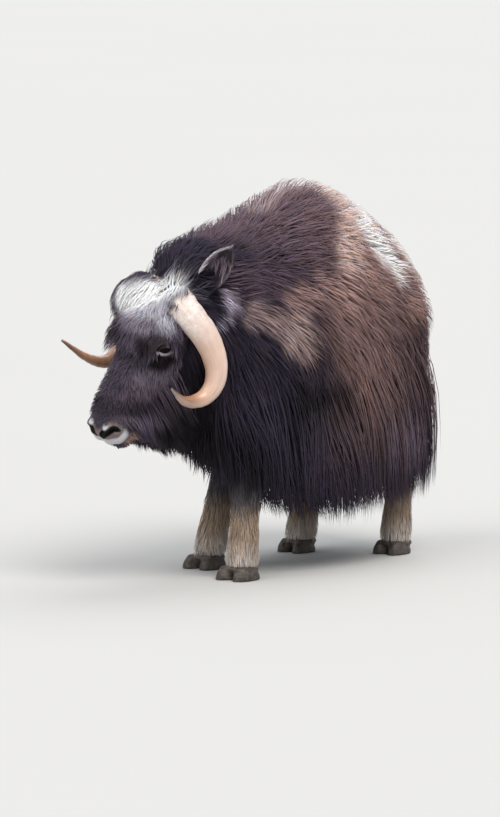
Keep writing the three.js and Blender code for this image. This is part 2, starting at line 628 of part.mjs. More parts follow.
function headLocks() {
  const locks = [];
  for (const { y, angles, spread, length, ...size } of FORELOCKS)
    for (const angle of angles) {
      const lie = vec(Math.sin(degrees(angle)) * spread, -1, 0).normalize();
      locks.push(headLock(y, angle, lie, { length: length * vary(0.06), ...size }));
    }
  const cheekLie = (side) => DOWN.clone().add(vec(side * 0.25, 0.5, 0)).normalize();
  for (const side of [1, -1]) {
    for (const { y, angle, length, wide } of CHEEK_LOCKS) {
      const size = { length: length * vary(0.1), wide, lift: [8, 18], hug: 0.2 };
      locks.push(headLock(y, angle * side, cheekLie(side), size));
    }
    for (const { y, angle, length } of CHIN_LOCKS)
      if (side > 0 || angle < 180)
        locks.push(headLock(y, angle * side, DOWN, { length, wide: 54, lift: [8, 14], hug: 0 }));
  }
  return locks;
}

// TAIL: short, and all but hidden
const TAIL = [
  { at: vec(-74, 940, 866), wide: 24, deep: 16 },
  { at: vec(-78, 976, 822), wide: 30, deep: 18 },
  { at: vec(-81, 1000, 772), wide: 32, deep: 18 },
  { at: vec(-83, 1013, 722), wide: 24, deep: 14 },
  { at: vec(-84, 1020, 676), wide: 4, deep: 4 },
];
const tailShape = (grow = 0) => solid(tube(TAIL, vec(1, 0, 0), 8, grow, true, 1));
function tailLocks() {
  const locks = [];
  for (const [along, x] of [[0.35, -16], [0.35, 16], [0.55, 0], [0.7, -14], [0.7, 14]]) {
    const place = new THREE.CatmullRomCurve3(TAIL.map((s) => s.at)).getPoint(along);
    const path = [0, 1, 2, 3].map((i) =>
      vec(place.x + x * (0.6 + 0.4 * i), place.y + 4 + i * 6, place.z - i * 42),
    );
    locks.push({ path, outward: path.map(() => vec(x / 60, 1, 0.1)), halfWide: 17, halfThick: 7, blunt: 2 });
  }
  return locks;
}

const animal = new THREE.Group();
const MATERIALS = {
  coat: new THREE.MeshStandardMaterial({ color: 0x2a2326, roughness: 0.95, metalness: 0 }),
  head: new THREE.MeshStandardMaterial({ color: 0x231e20, roughness: 0.95, metalness: 0 }),
  horn: new THREE.MeshStandardMaterial({ color: 0xd0a47c, roughness: 0.45, metalness: 0 }),
  stocking: new THREE.MeshStandardMaterial({ color: 0xb9aa9a, roughness: 0.95, metalness: 0 }),
  hoof: new THREE.MeshStandardMaterial({ color: 0x3a332e, roughness: 0.6, metalness: 0 }),
  eye: new THREE.MeshStandardMaterial({ color: 0x1a0f0a, roughness: 0.1, metalness: 0 }),
};
function add(parent, name, made, material) {
  const mesh = new THREE.Mesh(geometryOf(made), MATERIALS[material]);
  mesh.name = name;
  parent.add(mesh);
}

const headGroup = new THREE.Group();
headGroup.position.copy(HEAD_PLACE);
headGroup.rotation.copy(headTurn);
animal.add(headGroup);

const headHair = headLocks();
const headWhole = (grow) => union([skullShape(grow), ...blades(headHair, grow)]);
const neckHair = neckLocks();
const trunkHair = trunkLocks();
const tailHair = tailLocks();
const tailBody = (grow) => union([tailShape(grow), ...blades(tailHair, grow)]);
const headGrown = moved(headWhole(GAP), headMatrix);
const hornsGrown = moved(union([1, -1].map((side) => hornShape(side, GAP))), headMatrix);
const earsGrown = moved(union(["left", "right"].map((label) => earShape(label, GAP))), headMatrix);
const legsGrown = union(Object.keys(LEGS).map((name) => legShape(name, GAP)));
const trunkGrown = solid(trunk.geometry(14, 18, GAP));
const neckBody = (grow) =>
  union([solid(neck.geometry(9, 14, grow)), ...blades(neckHair, grow)]).subtract(
    solid(trunk.geometry(14, 18, GAP - grow)),
  );
const neckMade = neckBody(0).subtract(headGrown).subtract(hornsGrown).subtract(earsGrown);
add(animal, "neck", largest(neckMade), "coat");
const torsoMade = union([solid(trunk.geometry(14, 18)), ...blades(trunkHair)])
  .subtract(neckBody(GAP))
  .subtract(hornsGrown)
  .subtract(headGrown)
  .subtract(earsGrown)
  .subtract(legsGrown.subtract(trunkGrown))
  .subtract(tailBody(GAP).subtract(trunkGrown));
add(animal, "tail", largest(tailBody(0).subtract(trunkGrown)), "coat");
add(animal, "torso", largest(torsoMade), "coat");

add(headGroup, "head", largest(headCore(headHair)), "head");
for (const [label, side] of [["left", 1], ["right", -1]]) {
  const horn = hornShape(side).subtract(headWhole(GAP));
  add(headGroup, `horn_${label}`, largest(horn), "horn");
  const ear = earShape(label).subtract(earCup(label)).subtract(headWhole(GAP)).subtract(hornShape(side, GAP));
  add(headGroup, `ear_${label}`, largest(ear), "head");
  add(headGroup, `eye_${label}`, eyeShape(side), "eye");
}
for (const name of Object.keys(LEGS)) {
  const leg = legShape(name).subtract(trunkGrown).trimByPlane([0, 0, 1], CORONET);
  add(animal, `leg_${name}`, largest(leg), "stocking");
  add(animal, `hoof_${name}`, largest(hoofShape(name)), "hoof");
}

// The origin is the middle of the box's underside.
animal.updateMatrixWorld(true);
const box = new THREE.Box3().setFromObject(animal, true);
const middle = box.getCenter(vec(0, 0, 0));
animal.position.set(-middle.x, -middle.y, -box.min.z);
const group = new THREE.Group();
group.add(animal);
export default group;
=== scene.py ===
"""A young bull muskox at life size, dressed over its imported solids.

Metres, +Z up. The animal faces -Y, and its own left side is +X.
"""

import logging
import math
from dataclasses import dataclass, replace
from enum import Enum
from typing import Callable, Sequence

import bmesh
import bpy
import numpy as np
from mathutils import Euler, Matrix, Vector
from mathutils.kdtree import KDTree


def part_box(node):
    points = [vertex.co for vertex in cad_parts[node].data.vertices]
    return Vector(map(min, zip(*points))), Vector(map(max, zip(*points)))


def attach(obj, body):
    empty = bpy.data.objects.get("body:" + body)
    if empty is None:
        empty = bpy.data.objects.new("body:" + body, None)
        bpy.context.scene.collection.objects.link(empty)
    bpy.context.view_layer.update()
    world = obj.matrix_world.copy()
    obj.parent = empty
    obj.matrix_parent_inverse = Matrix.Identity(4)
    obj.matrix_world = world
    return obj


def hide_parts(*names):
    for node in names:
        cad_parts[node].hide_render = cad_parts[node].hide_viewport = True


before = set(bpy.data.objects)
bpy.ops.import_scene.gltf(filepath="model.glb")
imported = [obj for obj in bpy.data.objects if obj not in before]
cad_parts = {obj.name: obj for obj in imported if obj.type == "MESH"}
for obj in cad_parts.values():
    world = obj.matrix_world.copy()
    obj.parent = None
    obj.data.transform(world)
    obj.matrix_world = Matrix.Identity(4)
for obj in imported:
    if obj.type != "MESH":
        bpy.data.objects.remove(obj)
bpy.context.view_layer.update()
LOG = logging.getLogger("muskox")

Array = np.ndarray
Triple = tuple[float, float, float]
Colour = Triple

# Driving dimensions, in metres and degrees, as in the solids
HEAD_PLACE = Vector((0.006, -0.177, 0.872))
HEAD_PITCH, HEAD_ROLL, HEAD_YAW = 50.0, 13.5, -5.0
EYE_PLACE = Vector((0.092, -0.168, 0.008))  # the solid eyeball
EYE_RADIUS = 0.0205
EYE_SHIFT = Vector((0.003, 0.008, 0.002))  # how far the wet eyeball lies from the solid one's middle
EYE_FACES = Vector((0.888, -0.182, 0.424)).normalized()
EYE_SLIT = Vector((0.430, 0.690, -0.585))  # from the inner to the outer corner of the left eye
LID_REACH = (0.0172, 0.0088, 0.0070)  # half length of the slit, and reach of the upper and lower lid
HAIR_SEED = 7
ROOT_DEPTH = 0.004  # how far under the skin a hair starts
STRAY_REACH, STRAY_LEVEL = 0.075, 0.45  # trunk hair further out than this is left out, above this height
SKIN_SHADE = 0.75  # how light the hide is against the hair on it
BOSS_HAIR_LEFT, BOSS_HAIR_RIGHT = 0.060, 0.168  # how far out from the middle the horns bear hair
TUFT_PATCH = 0.003  # how wide a tuft's patch is on the unwrapped skin
PIECE_TRIANGLES = 190_000
FLOOR_GAP = 0.004  # how far the hair of the feet stays off the floor
# the lip and bare nose, painted black shade for inside the nostrils, and a painted highlight above each
# nostril
PALE_LIP, PAINTED_NOSTRIL_SHADE = (0.58, 0.57, 0.61), (0.004, 0.0035, 0.004)
BARE_NOSE, PAINTED_NOSE_GLINT = (0.190, 0.145, 0.140), (0.62, 0.62, 0.66)
# the last of these is a painted highlight on the upper lid's fold; the first is dark lid skin, partly painted
# shade
LID_DARK, LID_PALE, LID_FOLD_HIGHLIGHT = (0.016, 0.012, 0.015), (0.40, 0.34, 0.39), (0.13, 0.12, 0.16)

LEFT, RIGHT = 1, -1


class Part(Enum):
    """The parts of the skin that carry hair of their own."""

    TRUNK = "trunk"
    NECK = "neck"
    HEAD = "head"
    LEG = "leg"
    EAR = "ear"
    TAIL = "tail"
    BOSS = "boss"


def head_matrix() -> Matrix:
    """The head's frame in the row's frame.

    Returns:
        A matrix that takes a point of the head's frame to the row's frame.
    """
    turn = Euler([math.radians(a) for a in (HEAD_PITCH, HEAD_ROLL, HEAD_YAW)], "XYZ").to_matrix().to_4x4()
    low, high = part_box("eye_left")
    poll = (low + high) / 2 - turn @ EYE_PLACE
    return Matrix.Translation(poll) @ turn


def eye_matrix(side: int) -> Matrix:
    """The frame of one eye in the head's frame: X along the slit of the lids, Z where it looks.

    Args:
        side: LEFT or RIGHT; the right one mirrors the left.

    Returns:
        A matrix that takes a point of the eye's frame to the head's frame.
    """
    ahead = EYE_FACES
    slit = (EYE_SLIT - ahead * EYE_SLIT.dot(ahead)).normalized()
    columns = Matrix((slit, ahead.cross(slit), ahead)).transposed().to_4x4()
    mirror = Matrix.Diagonal((side, 1.0, 1.0, 1.0))
    return mirror @ Matrix.Translation(EYE_PLACE + EYE_SHIFT) @ columns


HEAD = head_matrix()
FORE_FEET = HEAD.translation - HEAD_PLACE  # the floor between the fore feet
HEAD_TURN = np.array(HEAD.to_3x3())
HEAD_AT = np.array(HEAD.translation)
BODY_AT = np.array(FORE_FEET)
EYE_TURN = np.array(eye_matrix(LEFT).to_3x3())
EYE_AT = np.array(eye_matrix(LEFT).translation)


def unit(v: Array) -> Array:
    """Rows of v at length one."""
    return v / np.maximum(np.linalg.norm(v, axis=-1, keepdims=True), 1e-9)


def smooth_step(x: Array, low: float, high: float) -> Array:
    """A smooth rise from 0 at low to 1 at high."""
    t = np.clip((x - low) / (high - low), 0.0, 1.0)
    return t * t * (3 - 2 * t)


def blend(a: Array, b: Array, t: Array) -> Array:
    """Rows from a at t = 0 to b at t = 1."""
    return a + (b - a) * t


def to_head(p: Array) -> Array:
    """Points of the row's frame in the head's frame."""
    return (p - HEAD_AT) @ HEAD_TURN


def from_head(v: Array) -> Array:
    """Directions of the head's frame in the row's frame."""
    return np.asarray(v) @ HEAD_TURN.T


def mirrored(p: Array) -> Array:
    """Points of the head's or body's frame, with those on the right brought over to the left."""
    return np.column_stack([np.abs(p[:, 0]), p[:, 1:]])


def beside(p: Array, a: Array, b: Array) -> tuple[Array, Array]:
    """Where points lie beside a line.

    Args:
        p: The points, one a row.
        a: The line's start.
        b: Its end.

    Returns:
        The share of the line's length at each point, also past its ends, and the gap from the line to it.
    """
    along = np.subtract(b, a)
    t = (p - a) @ along / (along @ along)
    return t, p - a - np.clip(t, 0, 1)[:, None] * along


def nearest(places: Array, targets: Array) -> list[int]:
    """For each place, the row of the target nearest to it."""
    tree = KDTree(len(targets))
    for row, target in enumerate(targets):
        tree.insert(target, row)
    tree.balance()
    return [tree.find(place)[1] for place in places]


@dataclass(frozen=True)
class Ripple:
    """A smooth, repeatable unevenness over space, between about -1 and 1."""

    size: float
    seed: int
    waves: int = 7

    def at(self, p: Array) -> Array:
        """The unevenness at each point.

        Args:
            p: Points, one a row.

        Returns:
            One number for each point.
        """
        draw = np.random.default_rng(self.seed)
        ways = unit(draw.normal(size=(self.waves, 3)))
        pace = draw.uniform(0.6, 1.6, self.waves) * 2 * math.pi / self.size
        phase = draw.uniform(0, 2 * math.pi, self.waves)
        return np.sin(p @ (ways * pace[:, None]).T + phase).sum(1) / math.sqrt(self.waves) / 1.2


# SHAPES OF THE BODY


class Barrel:
    """A body of rounded cross-sections across Y.

    Each section is (y, top, half width, height of the widest point, underside, middle).
    """

    def __init__(self, sections: Sequence[Sequence[float]], above: float, below: float) -> None:
        """Keeps the sections, and the powers of their upper and lower halves: 2 is an ellipse."""
        rows = np.array([list(s) + [0.0] * (6 - len(s)) for s in sections])
        self.rows = rows[np.argsort(rows[:, 0])]
        self.above, self.below = above, below

    def section(self, y: Array) -> list[Array]:
        """The top, half width, level, underside and middle at y, along smooth curves."""
        at, values = self.rows[:, 0], self.rows[:, 1:]
        y = np.clip(y, at[0], at[-1])
        i = np.clip(np.searchsorted(at, y) - 1, 0, len(at) - 2)
        slopes = np.empty_like(values)
        slopes[1:-1] = (values[2:] - values[:-2]) / (at[2:] - at[:-2])[:, None]
        slopes[0] = (values[1] - values[0]) / (at[1] - at[0])
        slopes[-1] = (values[-1] - values[-2]) / (at[-1] - at[-2])
        span = (at[i + 1] - at[i])[:, None]
        t = (y - at[i])[:, None] / span
        made = (
            (2 * t**3 - 3 * t**2 + 1) * values[i]
            + (t**3 - 2 * t**2 + t) * span * slopes[i]
            + (3 * t**2 - 2 * t**3) * values[i + 1]
            + (t**3 - t**2) * span * slopes[i + 1]
        )
        return list(made.T)

    def ring(self, y: float, sides: int, grow: float) -> Array:
        """The points of one cross-section, grown outwards.

        Args:
            y: Where along the barrel.
            sides: How many points.
            grow: How far outside the surface, negative inside.

        Returns:
            The points, in the barrel's frame.
        """
        top, wide, level, low, middle = (float(v[0]) for v in self.section(np.array([y])))
        a = 2 * math.pi * (np.arange(sides) + 0.5) / sides
        power = np.where(np.cos(a) >= 0, self.above, self.below)
        rise = np.where(np.cos(a) >= 0, top - level, level - low)
        across = np.sign(np.sin(a)) * np.abs(np.sin(a)) ** (2 / power) * max(wide + grow, 0.004)
        up = np.sign(np.cos(a)) * np.abs(np.cos(a)) ** (2 / power) * np.maximum(rise + grow, 0.004)
        return np.stack([middle + across, np.full(sides, y), level + up], 1)

    def loft(self, bm: bmesh.types.BMesh, rings: int, sides: int, grow: float) -> None:
        """Adds the barrel to bm as a closed surface.

        Args:
            bm: Where to add it.
            rings: How many cross-sections.
            sides: How many points each has.
            grow: How far outside the rows the surface lies.
        """
        first, last = self.rows[0, 0] - grow, self.rows[-1, 0] + grow
        share = np.linspace(0, 1, rings)
        share -= np.sin(2 * math.pi * share) / (2 * math.pi) * 0.55
        places = first + (last - first) * share
        inner = np.clip(places, self.rows[0, 0], self.rows[-1, 0])
        loops = []
        for place, y in zip(places, inner):
            points = self.ring(y, sides, grow)
            points[:, 1] = place
            loops.append(points)
        bridge(bm, loops)

    def distance(self, p: Array) -> Array:
        """About how far each point lies outside the barrel, negative inside."""
        y = np.clip(p[:, 1], self.rows[0, 0], self.rows[-1, 0])
        top, wide, level, low, middle = self.section(y)
        x, z = np.abs(p[:, 0] - middle), p[:, 2] - level
        rise = np.where(z >= 0, top - level, level - low)
        power = np.where(z >= 0, self.above, self.below)
        share = ((x / wide) ** power + (np.abs(z) / rise) ** power) ** (1 / power)
        reach = np.hypot(x, z)
        across = np.where(share > 1e-6, reach * (1 - 1 / np.maximum(share, 1e-6)), -rise)
        past = np.abs(p[:, 1] - y)
        beyond = np.where(past > 0, np.maximum(across, past * 0.9), across)
        return np.where(across > 0, np.hypot(across, past), beyond)


def bridge(bm: bmesh.types.BMesh, loops: Sequence[Array], endless: bool = False) -> None:
    """Joins rings of points into one closed surface.

    Args:
        bm: Where to add it.
        loops: The rings, of one number of points each.
        endless: Whether the last ring meets the first. Otherwise the ends are filled.
    """
    edges = []
    for points in loops:
        verts = [bm.verts.new(p) for p in points]
        edges.append([bm.edges.new((a, b)) for a, b in zip(verts, verts[1:] + verts[:1])])
    for one, two in zip(edges, edges[1:] + edges[: int(endless)]):
        bmesh.ops.bridge_loops(bm, edges=one + two)
    if not endless:
        bmesh.ops.holes_fill(bm, edges=edges[0] + edges[-1])


def curve_points(stations: Array, count: int) -> Array:
    """Points along a smooth curve through stations.

    Args:
        stations: Places, with any sizes in further columns.
        count: How many points to make.

    Returns:
        The points, with the same columns.
    """
    n = len(stations)
    ends = np.vstack([2 * stations[0] - stations[1], stations, 2 * stations[-1] - stations[-2]])
    u = np.linspace(0, n - 1, count)
    i = np.clip(u.astype(int), 0, n - 2)
    t = (u - i)[:, None]
    a, b, c, d = ends[i], ends[i + 1], ends[i + 2], ends[i + 3]
    return 0.5 * (2 * b + (c - a) * t + (2 * a - 5 * b + 4 * c - d) * t**2 + (3 * b - a - 3 * c + d) * t**3)


def tube_rings(line: Array, across: Sequence[float], sides: int) -> list[Array]:
    """Rings round a path, whose width stays turned as at its start.

    Args:
        line: Points of the path, each with its half width and half depth.
        across: The direction of the width at the start.
        sides: How many points each ring has.

    Returns:
        The rings.
    """
    ways = unit(np.gradient(line[:, :3], axis=0))
    side = np.array(across, float)
    a = 2 * math.pi * np.arange(sides) / sides
    rings = []
    for (*p, wide, deep), way in zip(line, ways):
        side = unit(side - way * (side @ way))
        over = np.cross(way, side)
        rings.append(p + np.outer(np.cos(a) * wide, side) + np.outer(np.sin(a) * deep, over))
    return rings


# Cross-sections of the trunk, neck, skull and jaw
TRUNK = Barrel(
    [
        (-0.150, 0.830, 0.056, 0.690, 0.590),
        (-0.125, 0.905, 0.120, 0.690, 0.510),
        (-0.070, 0.985, 0.196, 0.690, 0.430),
        (0.020, 1.058, 0.242, 0.690, 0.366),
        (0.150, 1.110, 0.268, 0.685, 0.342),
        (0.280, 1.160, 0.280, 0.680, 0.332),
        (0.400, 1.198, 0.282, 0.675, 0.330, -0.003),
        (0.500, 1.190, 0.279, 0.675, 0.332, -0.008),
        (0.620, 1.146, 0.270, 0.670, 0.338, -0.020),
        (0.740, 1.078, 0.256, 0.660, 0.350, -0.036),
        (0.850, 0.988, 0.232, 0.650, 0.370, -0.054),
        (0.930, 0.892, 0.196, 0.640, 0.400, -0.068),
        (0.985, 0.806, 0.142, 0.635, 0.450, -0.078),
        (1.008, 0.735, 0.080, 0.630, 0.520, -0.084),
    ],
    2.0,
    2.7,
)
NECK = Barrel(
    [
        (0.060, 1.030, 0.150, 0.790, 0.560),
        (-0.040, 1.030, 0.170, 0.780, 0.470),
        (-0.110, 1.025, 0.160, 0.780, 0.470, 0.002),
        (-0.170, 1.000, 0.140, 0.780, 0.520),
        (-0.215, 0.950, 0.112, 0.780, 0.580, -0.004),
        (-0.240, 0.890, 0.060, 0.780, 0.680, -0.008),
    ],
    2.0,
    2.2,
)
SKULL = Barrel(
    [
        (0.088, -0.014, 0.040, -0.064, -0.114),
        (0.074, 0.022, 0.074, -0.066, -0.146),
        (0.042, 0.046, 0.096, -0.068, -0.178),
        (-0.012, 0.060, 0.108, -0.072, -0.206),
        (-0.070, 0.063, 0.112, -0.076, -0.220),
        (-0.130, 0.058, 0.108, -0.080, -0.222),
        (-0.188, 0.042, 0.097, -0.084, -0.214),
        (-0.246, 0.022, 0.083, -0.088, -0.200),
        (-0.302, 0.008, 0.076, -0.092, -0.178),
        (-0.354, -0.006, 0.073, -0.090, -0.154),
        (-0.402, -0.024, 0.071, -0.090, -0.146),
        (-0.440, -0.044, 0.064, -0.092, -0.142),
        (-0.466, -0.068, 0.048, -0.097, -0.131),
        (-0.476, -0.084, 0.028, -0.102, -0.119),
    ],
    2.8,
    2.4,
)
JAW = Barrel(
    [
        (-0.190, -0.110, 0.050, -0.160, -0.204),
        (-0.250, -0.104, 0.068, -0.152, -0.210),
        (-0.320, -0.104, 0.072, -0.150, -0.208),
        (-0.382, -0.110, 0.067, -0.150, -0.202),
        (-0.426, -0.120, 0.056, -0.152, -0.192),
        (-0.450, -0.132, 0.034, -0.154, -0.178),
    ],
    3.2,
    2.3,
)
# Each leg: its hoof, its knee or hock, and its root, as (x, y), and whether it is a hind leg
LEGS = {
    "front_left": ((0.132, 0.000), (0.134, 0.026), (0.138, 0.110), False),
    "front_right": ((-0.128, 0.145), (-0.134, 0.255), (-0.140, 0.265), False),
    "hind_left": ((0.098, 0.812), (0.094, 0.846), (0.086, 0.760), True),
    "hind_right": ((-0.168, 0.650), (-0.168, 0.715), (-0.160, 0.680), True),
}
# The middle line of a horn in the head's frame, with its half widths along and through the horn
HORN = np.array(
    [
        (0.016, -0.004, 0.046, 0.048, 0.018),
        (0.056, -0.012, 0.057, 0.052, 0.026),
        (0.100, -0.027, 0.050, 0.050, 0.033),
        (0.139, -0.039, 0.021, 0.046, 0.036),
        (0.170, -0.052, -0.022, 0.043, 0.036),
        (0.192, -0.074, -0.072, 0.039, 0.034),
        (0.206, -0.104, -0.115, 0.035, 0.032),
        (0.211, -0.145, -0.143, 0.031, 0.029),
        (0.208, -0.192, -0.146, 0.026, 0.025),
        (0.207, -0.234, -0.115, 0.020, 0.019),
        (0.222, -0.262, -0.055, 0.013, 0.012),
        (0.252, -0.277, 0.040, 0.004, 0.004),
    ]
)
# The ears: root and tip in the head's frame, the way the hollow faces, and how wide it is open; the right one
# is laid back and folded
EARS = {
    "left": ((0.096, 0.092, 0.038), (0.162, 0.196, 0.112), (0.56, -0.62, 0.56), 1.0),
    "right": ((-0.096, 0.092, 0.030), (-0.178, 0.161, -0.050), (-0.69, -0.65, 0.2), 0.62),
}
EAR_HALF_WIDTH = 0.046
ORBIT_AT, ORBIT_RADII = Vector((0.066, -0.150, 0.003)), Vector((0.0480, 0.0470, 0.0410))
# The middle line of the left nostril in the head's frame, with its half width and half depth
NOSTRIL = np.array(
    [
        (0.014, -0.477, -0.092, 0.006, 0.007),
        (0.021, -0.468, -0.080, 0.009, 0.011),
        (0.036, -0.455, -0.072, 0.009, 0.014),
        (0.050, -0.440, -0.070, 0.008, 0.011),
        (0.060, -0.432, -0.084, 0.004, 0.006),
    ]
)
NOSTRIL_OPENING = 1.3  # over the solids' own
NOSTRIL_INWARD = 0.005  # how much further back than the solids' own
NOSE_WING_AT = (0.030, -0.448, -0.054)
# The left half of the mouth's line, with its half height and half depth
MOUTH = np.array(
    [
        (0.090, -0.330, -0.122, 0.0020, 0.012),
        (0.068, -0.385, -0.129, 0.0026, 0.014),
        (0.046, -0.432, -0.137, 0.0030, 0.016),
        (0.016, -0.462, -0.139, 0.0030, 0.016),
    ]
)
# The swells above and beside the left nostril, of the lip and of the chin: middles and half sizes
NOSE_SWELLS = (
    ((0.038, -0.442, -0.068), (0.0195, 0.023, 0.0130)),
    ((0.052, -0.426, -0.092), (0.0145, 0.026, 0.022)),
    ((0.022, -0.452, -0.114), (0.026, 0.021, 0.021)),
    ((0.044, -0.426, -0.116), (0.022, 0.036, 0.025)),
    ((0.016, -0.432, -0.160), (0.026, 0.022, 0.017)),
)
LID_LOWEST = 0.00006  # square of the lids' least height over the eye's middle
LID_TOP, BROW_RADIUS = 0.0158, 0.046  # the rounding of the face beside the lids
SOCKET_GAP = 0.0003  # between eyeball and socket
CORNEA_RISE = 0.0012
SOLE_DROP = 0.0012  # what smoothing lifts the claws off the floor
PLACE_SHARE = 0.94  # how much of a hair's colour comes from the places it passes, and not from its root
HAIR_TINT = np.array([0.06, 0.0, -0.08])  # how red and blue differ from hair to hair
TAIL = np.array(
    [
        (-0.074, 0.930, 0.850, 0.018, 0.012),
        (-0.078, 0.976, 0.815, 0.020, 0.013),
        (-0.081, 1.000, 0.772, 0.020, 0.012),
        (-0.083, 1.013, 0.722, 0.014, 0.010),
        (-0.084, 1.020, 0.686, 0.005, 0.005),
    ]
)


def boss_distance(head: Array) -> Array:
    """About how far each point of the head's frame lies outside the thick inner ends of the horns."""
    p = mirrored(head)
    near = np.full(len(p), np.inf)
    for one, two in zip(HORN[:5], HORN[1:6]):
        t, gap = beside(p, one[:3], two[:3])
        size = blend(one[3:], two[3:], np.clip(t, 0, 1)[:, None])
        gap[:, 1] *= size[:, 1] / size[:, 0]
        near = np.minimum(near, np.linalg.norm(gap, axis=1) - size[:, 1])
    return near


def ear_distance(head: Array) -> Array:
    """How far each point of the head's frame lies from the middle lines of the ears."""
    return np.min([np.linalg.norm(beside(head, *ear[:2])[1], axis=1) for ear in EARS.values()], axis=0)


def skull_distance(head: Array) -> Array:
    """About how far each point of the head's frame lies outside skull and jaw."""
    return np.minimum(SKULL.distance(head), JAW.distance(head))


def body_distance(p: Array) -> Array:
    """About how far each point lies outside the coat's core, over trunk, neck, head and horn bosses."""
    body, head = p - BODY_AT, to_head(p)
    cores = (TRUNK.distance(body), NECK.distance(body), skull_distance(head), boss_distance(head))
    return np.minimum.reduce(cores)


def outward(p: Array) -> Array:
    """The way out of the body at each point."""
    steps = np.eye(3) * 0.004
    return unit(np.stack([body_distance(p + step) - body_distance(p - step) for step in steps], 1) + 1e-9)


# MAKING MESHES


def object_of(bm: bmesh.types.BMesh, name: str) -> bpy.types.Object:
    """Turns bm into a smooth object in the scene and frees it.

    Args:
        bm: A closed mesh.
        name: The object's name.

    Returns:
        The new object.
    """
    bmesh.ops.recalc_face_normals(bm, faces=bm.faces)
    mesh = bpy.data.meshes.new(name)
    bm.to_mesh(mesh)
    bm.free()
    mesh.polygons.foreach_set("use_smooth", [True] * len(mesh.polygons))
    made = bpy.data.objects.new(name, mesh)
    bpy.context.scene.collection.objects.link(made)
    return made


def modify(made: bpy.types.Object, kind: str, **settings: object) -> bpy.types.Object:
    """Adds a modifier and applies it.

    Args:
        made: The object to change.
        kind: The modifier's type.
        settings: Its properties.

    Returns:
        The same object.
    """
    modifier = made.modifiers.new(kind.title(), kind)
    for key, value in settings.items():
        setattr(modifier, key, value)
    graph = bpy.context.evaluated_depsgraph_get()
    mesh = bpy.data.meshes.new_from_object(made.evaluated_get(graph), depsgraph=graph)
    made.modifiers.clear()
    old, made.data = made.data, mesh
    bpy.data.meshes.remove(old)
    mesh.name = made.name
    mesh.polygons.foreach_set("use_smooth", [True] * len(mesh.polygons))
    return made


def remesh(made: bpy.types.Object, voxel: float) -> bpy.types.Object:
    """Fuses an object's closed surfaces into one, of even faces."""
    return modify(made, "REMESH", mode="VOXEL", voxel_size=voxel, use_smooth_shade=True)


def combine(one: bpy.types.Object, other: bpy.types.Object, operation: str) -> bpy.types.Object:
    """Joins other to one or cuts it away, and removes other.

    Args:
        one: The object that stays.
        other: The object that is used up.
        operation: UNION or DIFFERENCE.

    Returns:
        The first object.
    """
    modify(one, "BOOLEAN", object=other, operation=operation, solver="MANIFOLD")
    bpy.data.objects.remove(other)
    return one


def read(items: Sequence, name: str) -> Array:
    """A vector that each item of a mesh's list has, one a row."""
    rows = np.empty(len(items) * 3, np.float32)
    items.foreach_get(name, rows)
    return rows.reshape(-1, 3).astype(float)


def write(items: Sequence, name: str, values: Array) -> None:
    """Sets a value of each item of a mesh's list."""
    items.foreach_set(name, np.asarray(values).astype(np.float32).ravel())


STORED = {1: ("FLOAT", "value"), 3: ("FLOAT_VECTOR", "vector"), 4: ("FLOAT_COLOR", "color")}


def store(mesh: bpy.types.Mesh, name: str, values: Array) -> None:
    """Keeps a number, a vector or a colour for each vertex, under a name that a material reads.

    Args:
        mesh: The mesh.
        name: The name.
        values: One row for each vertex. A row of four numbers is a colour.
    """
    kind, field = STORED[values.size // len(values)]
    write(mesh.attributes.new(name, kind, "POINT").data, field, values)


def paint(mesh: bpy.types.Mesh, colours: Array) -> None:
    """Keeps the coat's colour for each vertex."""
    store(mesh, "coat", np.column_stack([colours, np.ones(len(colours))]))


# COLOURS OF THE COAT


@dataclass(frozen=True)
class Marking:
    """A patch or band of another colour: soft balls along a line, alike on both sides of the body."""

    line: tuple[tuple[float, float, float], ...]
    radius: float
    colour: Colour
    strength: float
    on_head: bool = False
    both_sides: bool = True

    def share(self, body: Array, head: Array) -> Array:
        """How much of the marking's colour each point has.

        Args:
            body: The points in the body's frame.
            head: The same points in the head's frame.

        Returns:
            Shares from 0 to 1.
        """
        p = head if self.on_head else body
        if self.both_sides:
            p = mirrored(p)
        if len(self.line) == 1:
            near = np.linalg.norm(p - self.line[0], axis=1)
        else:
            gaps = [beside(p, a, b)[1] for a, b in zip(self.line, self.line[1:])]
            near = np.min([np.linalg.norm(gap, axis=1) for gap in gaps], axis=0)
        return self.strength * (1 - smooth_step(near / self.radius, 0.35, 1.25))


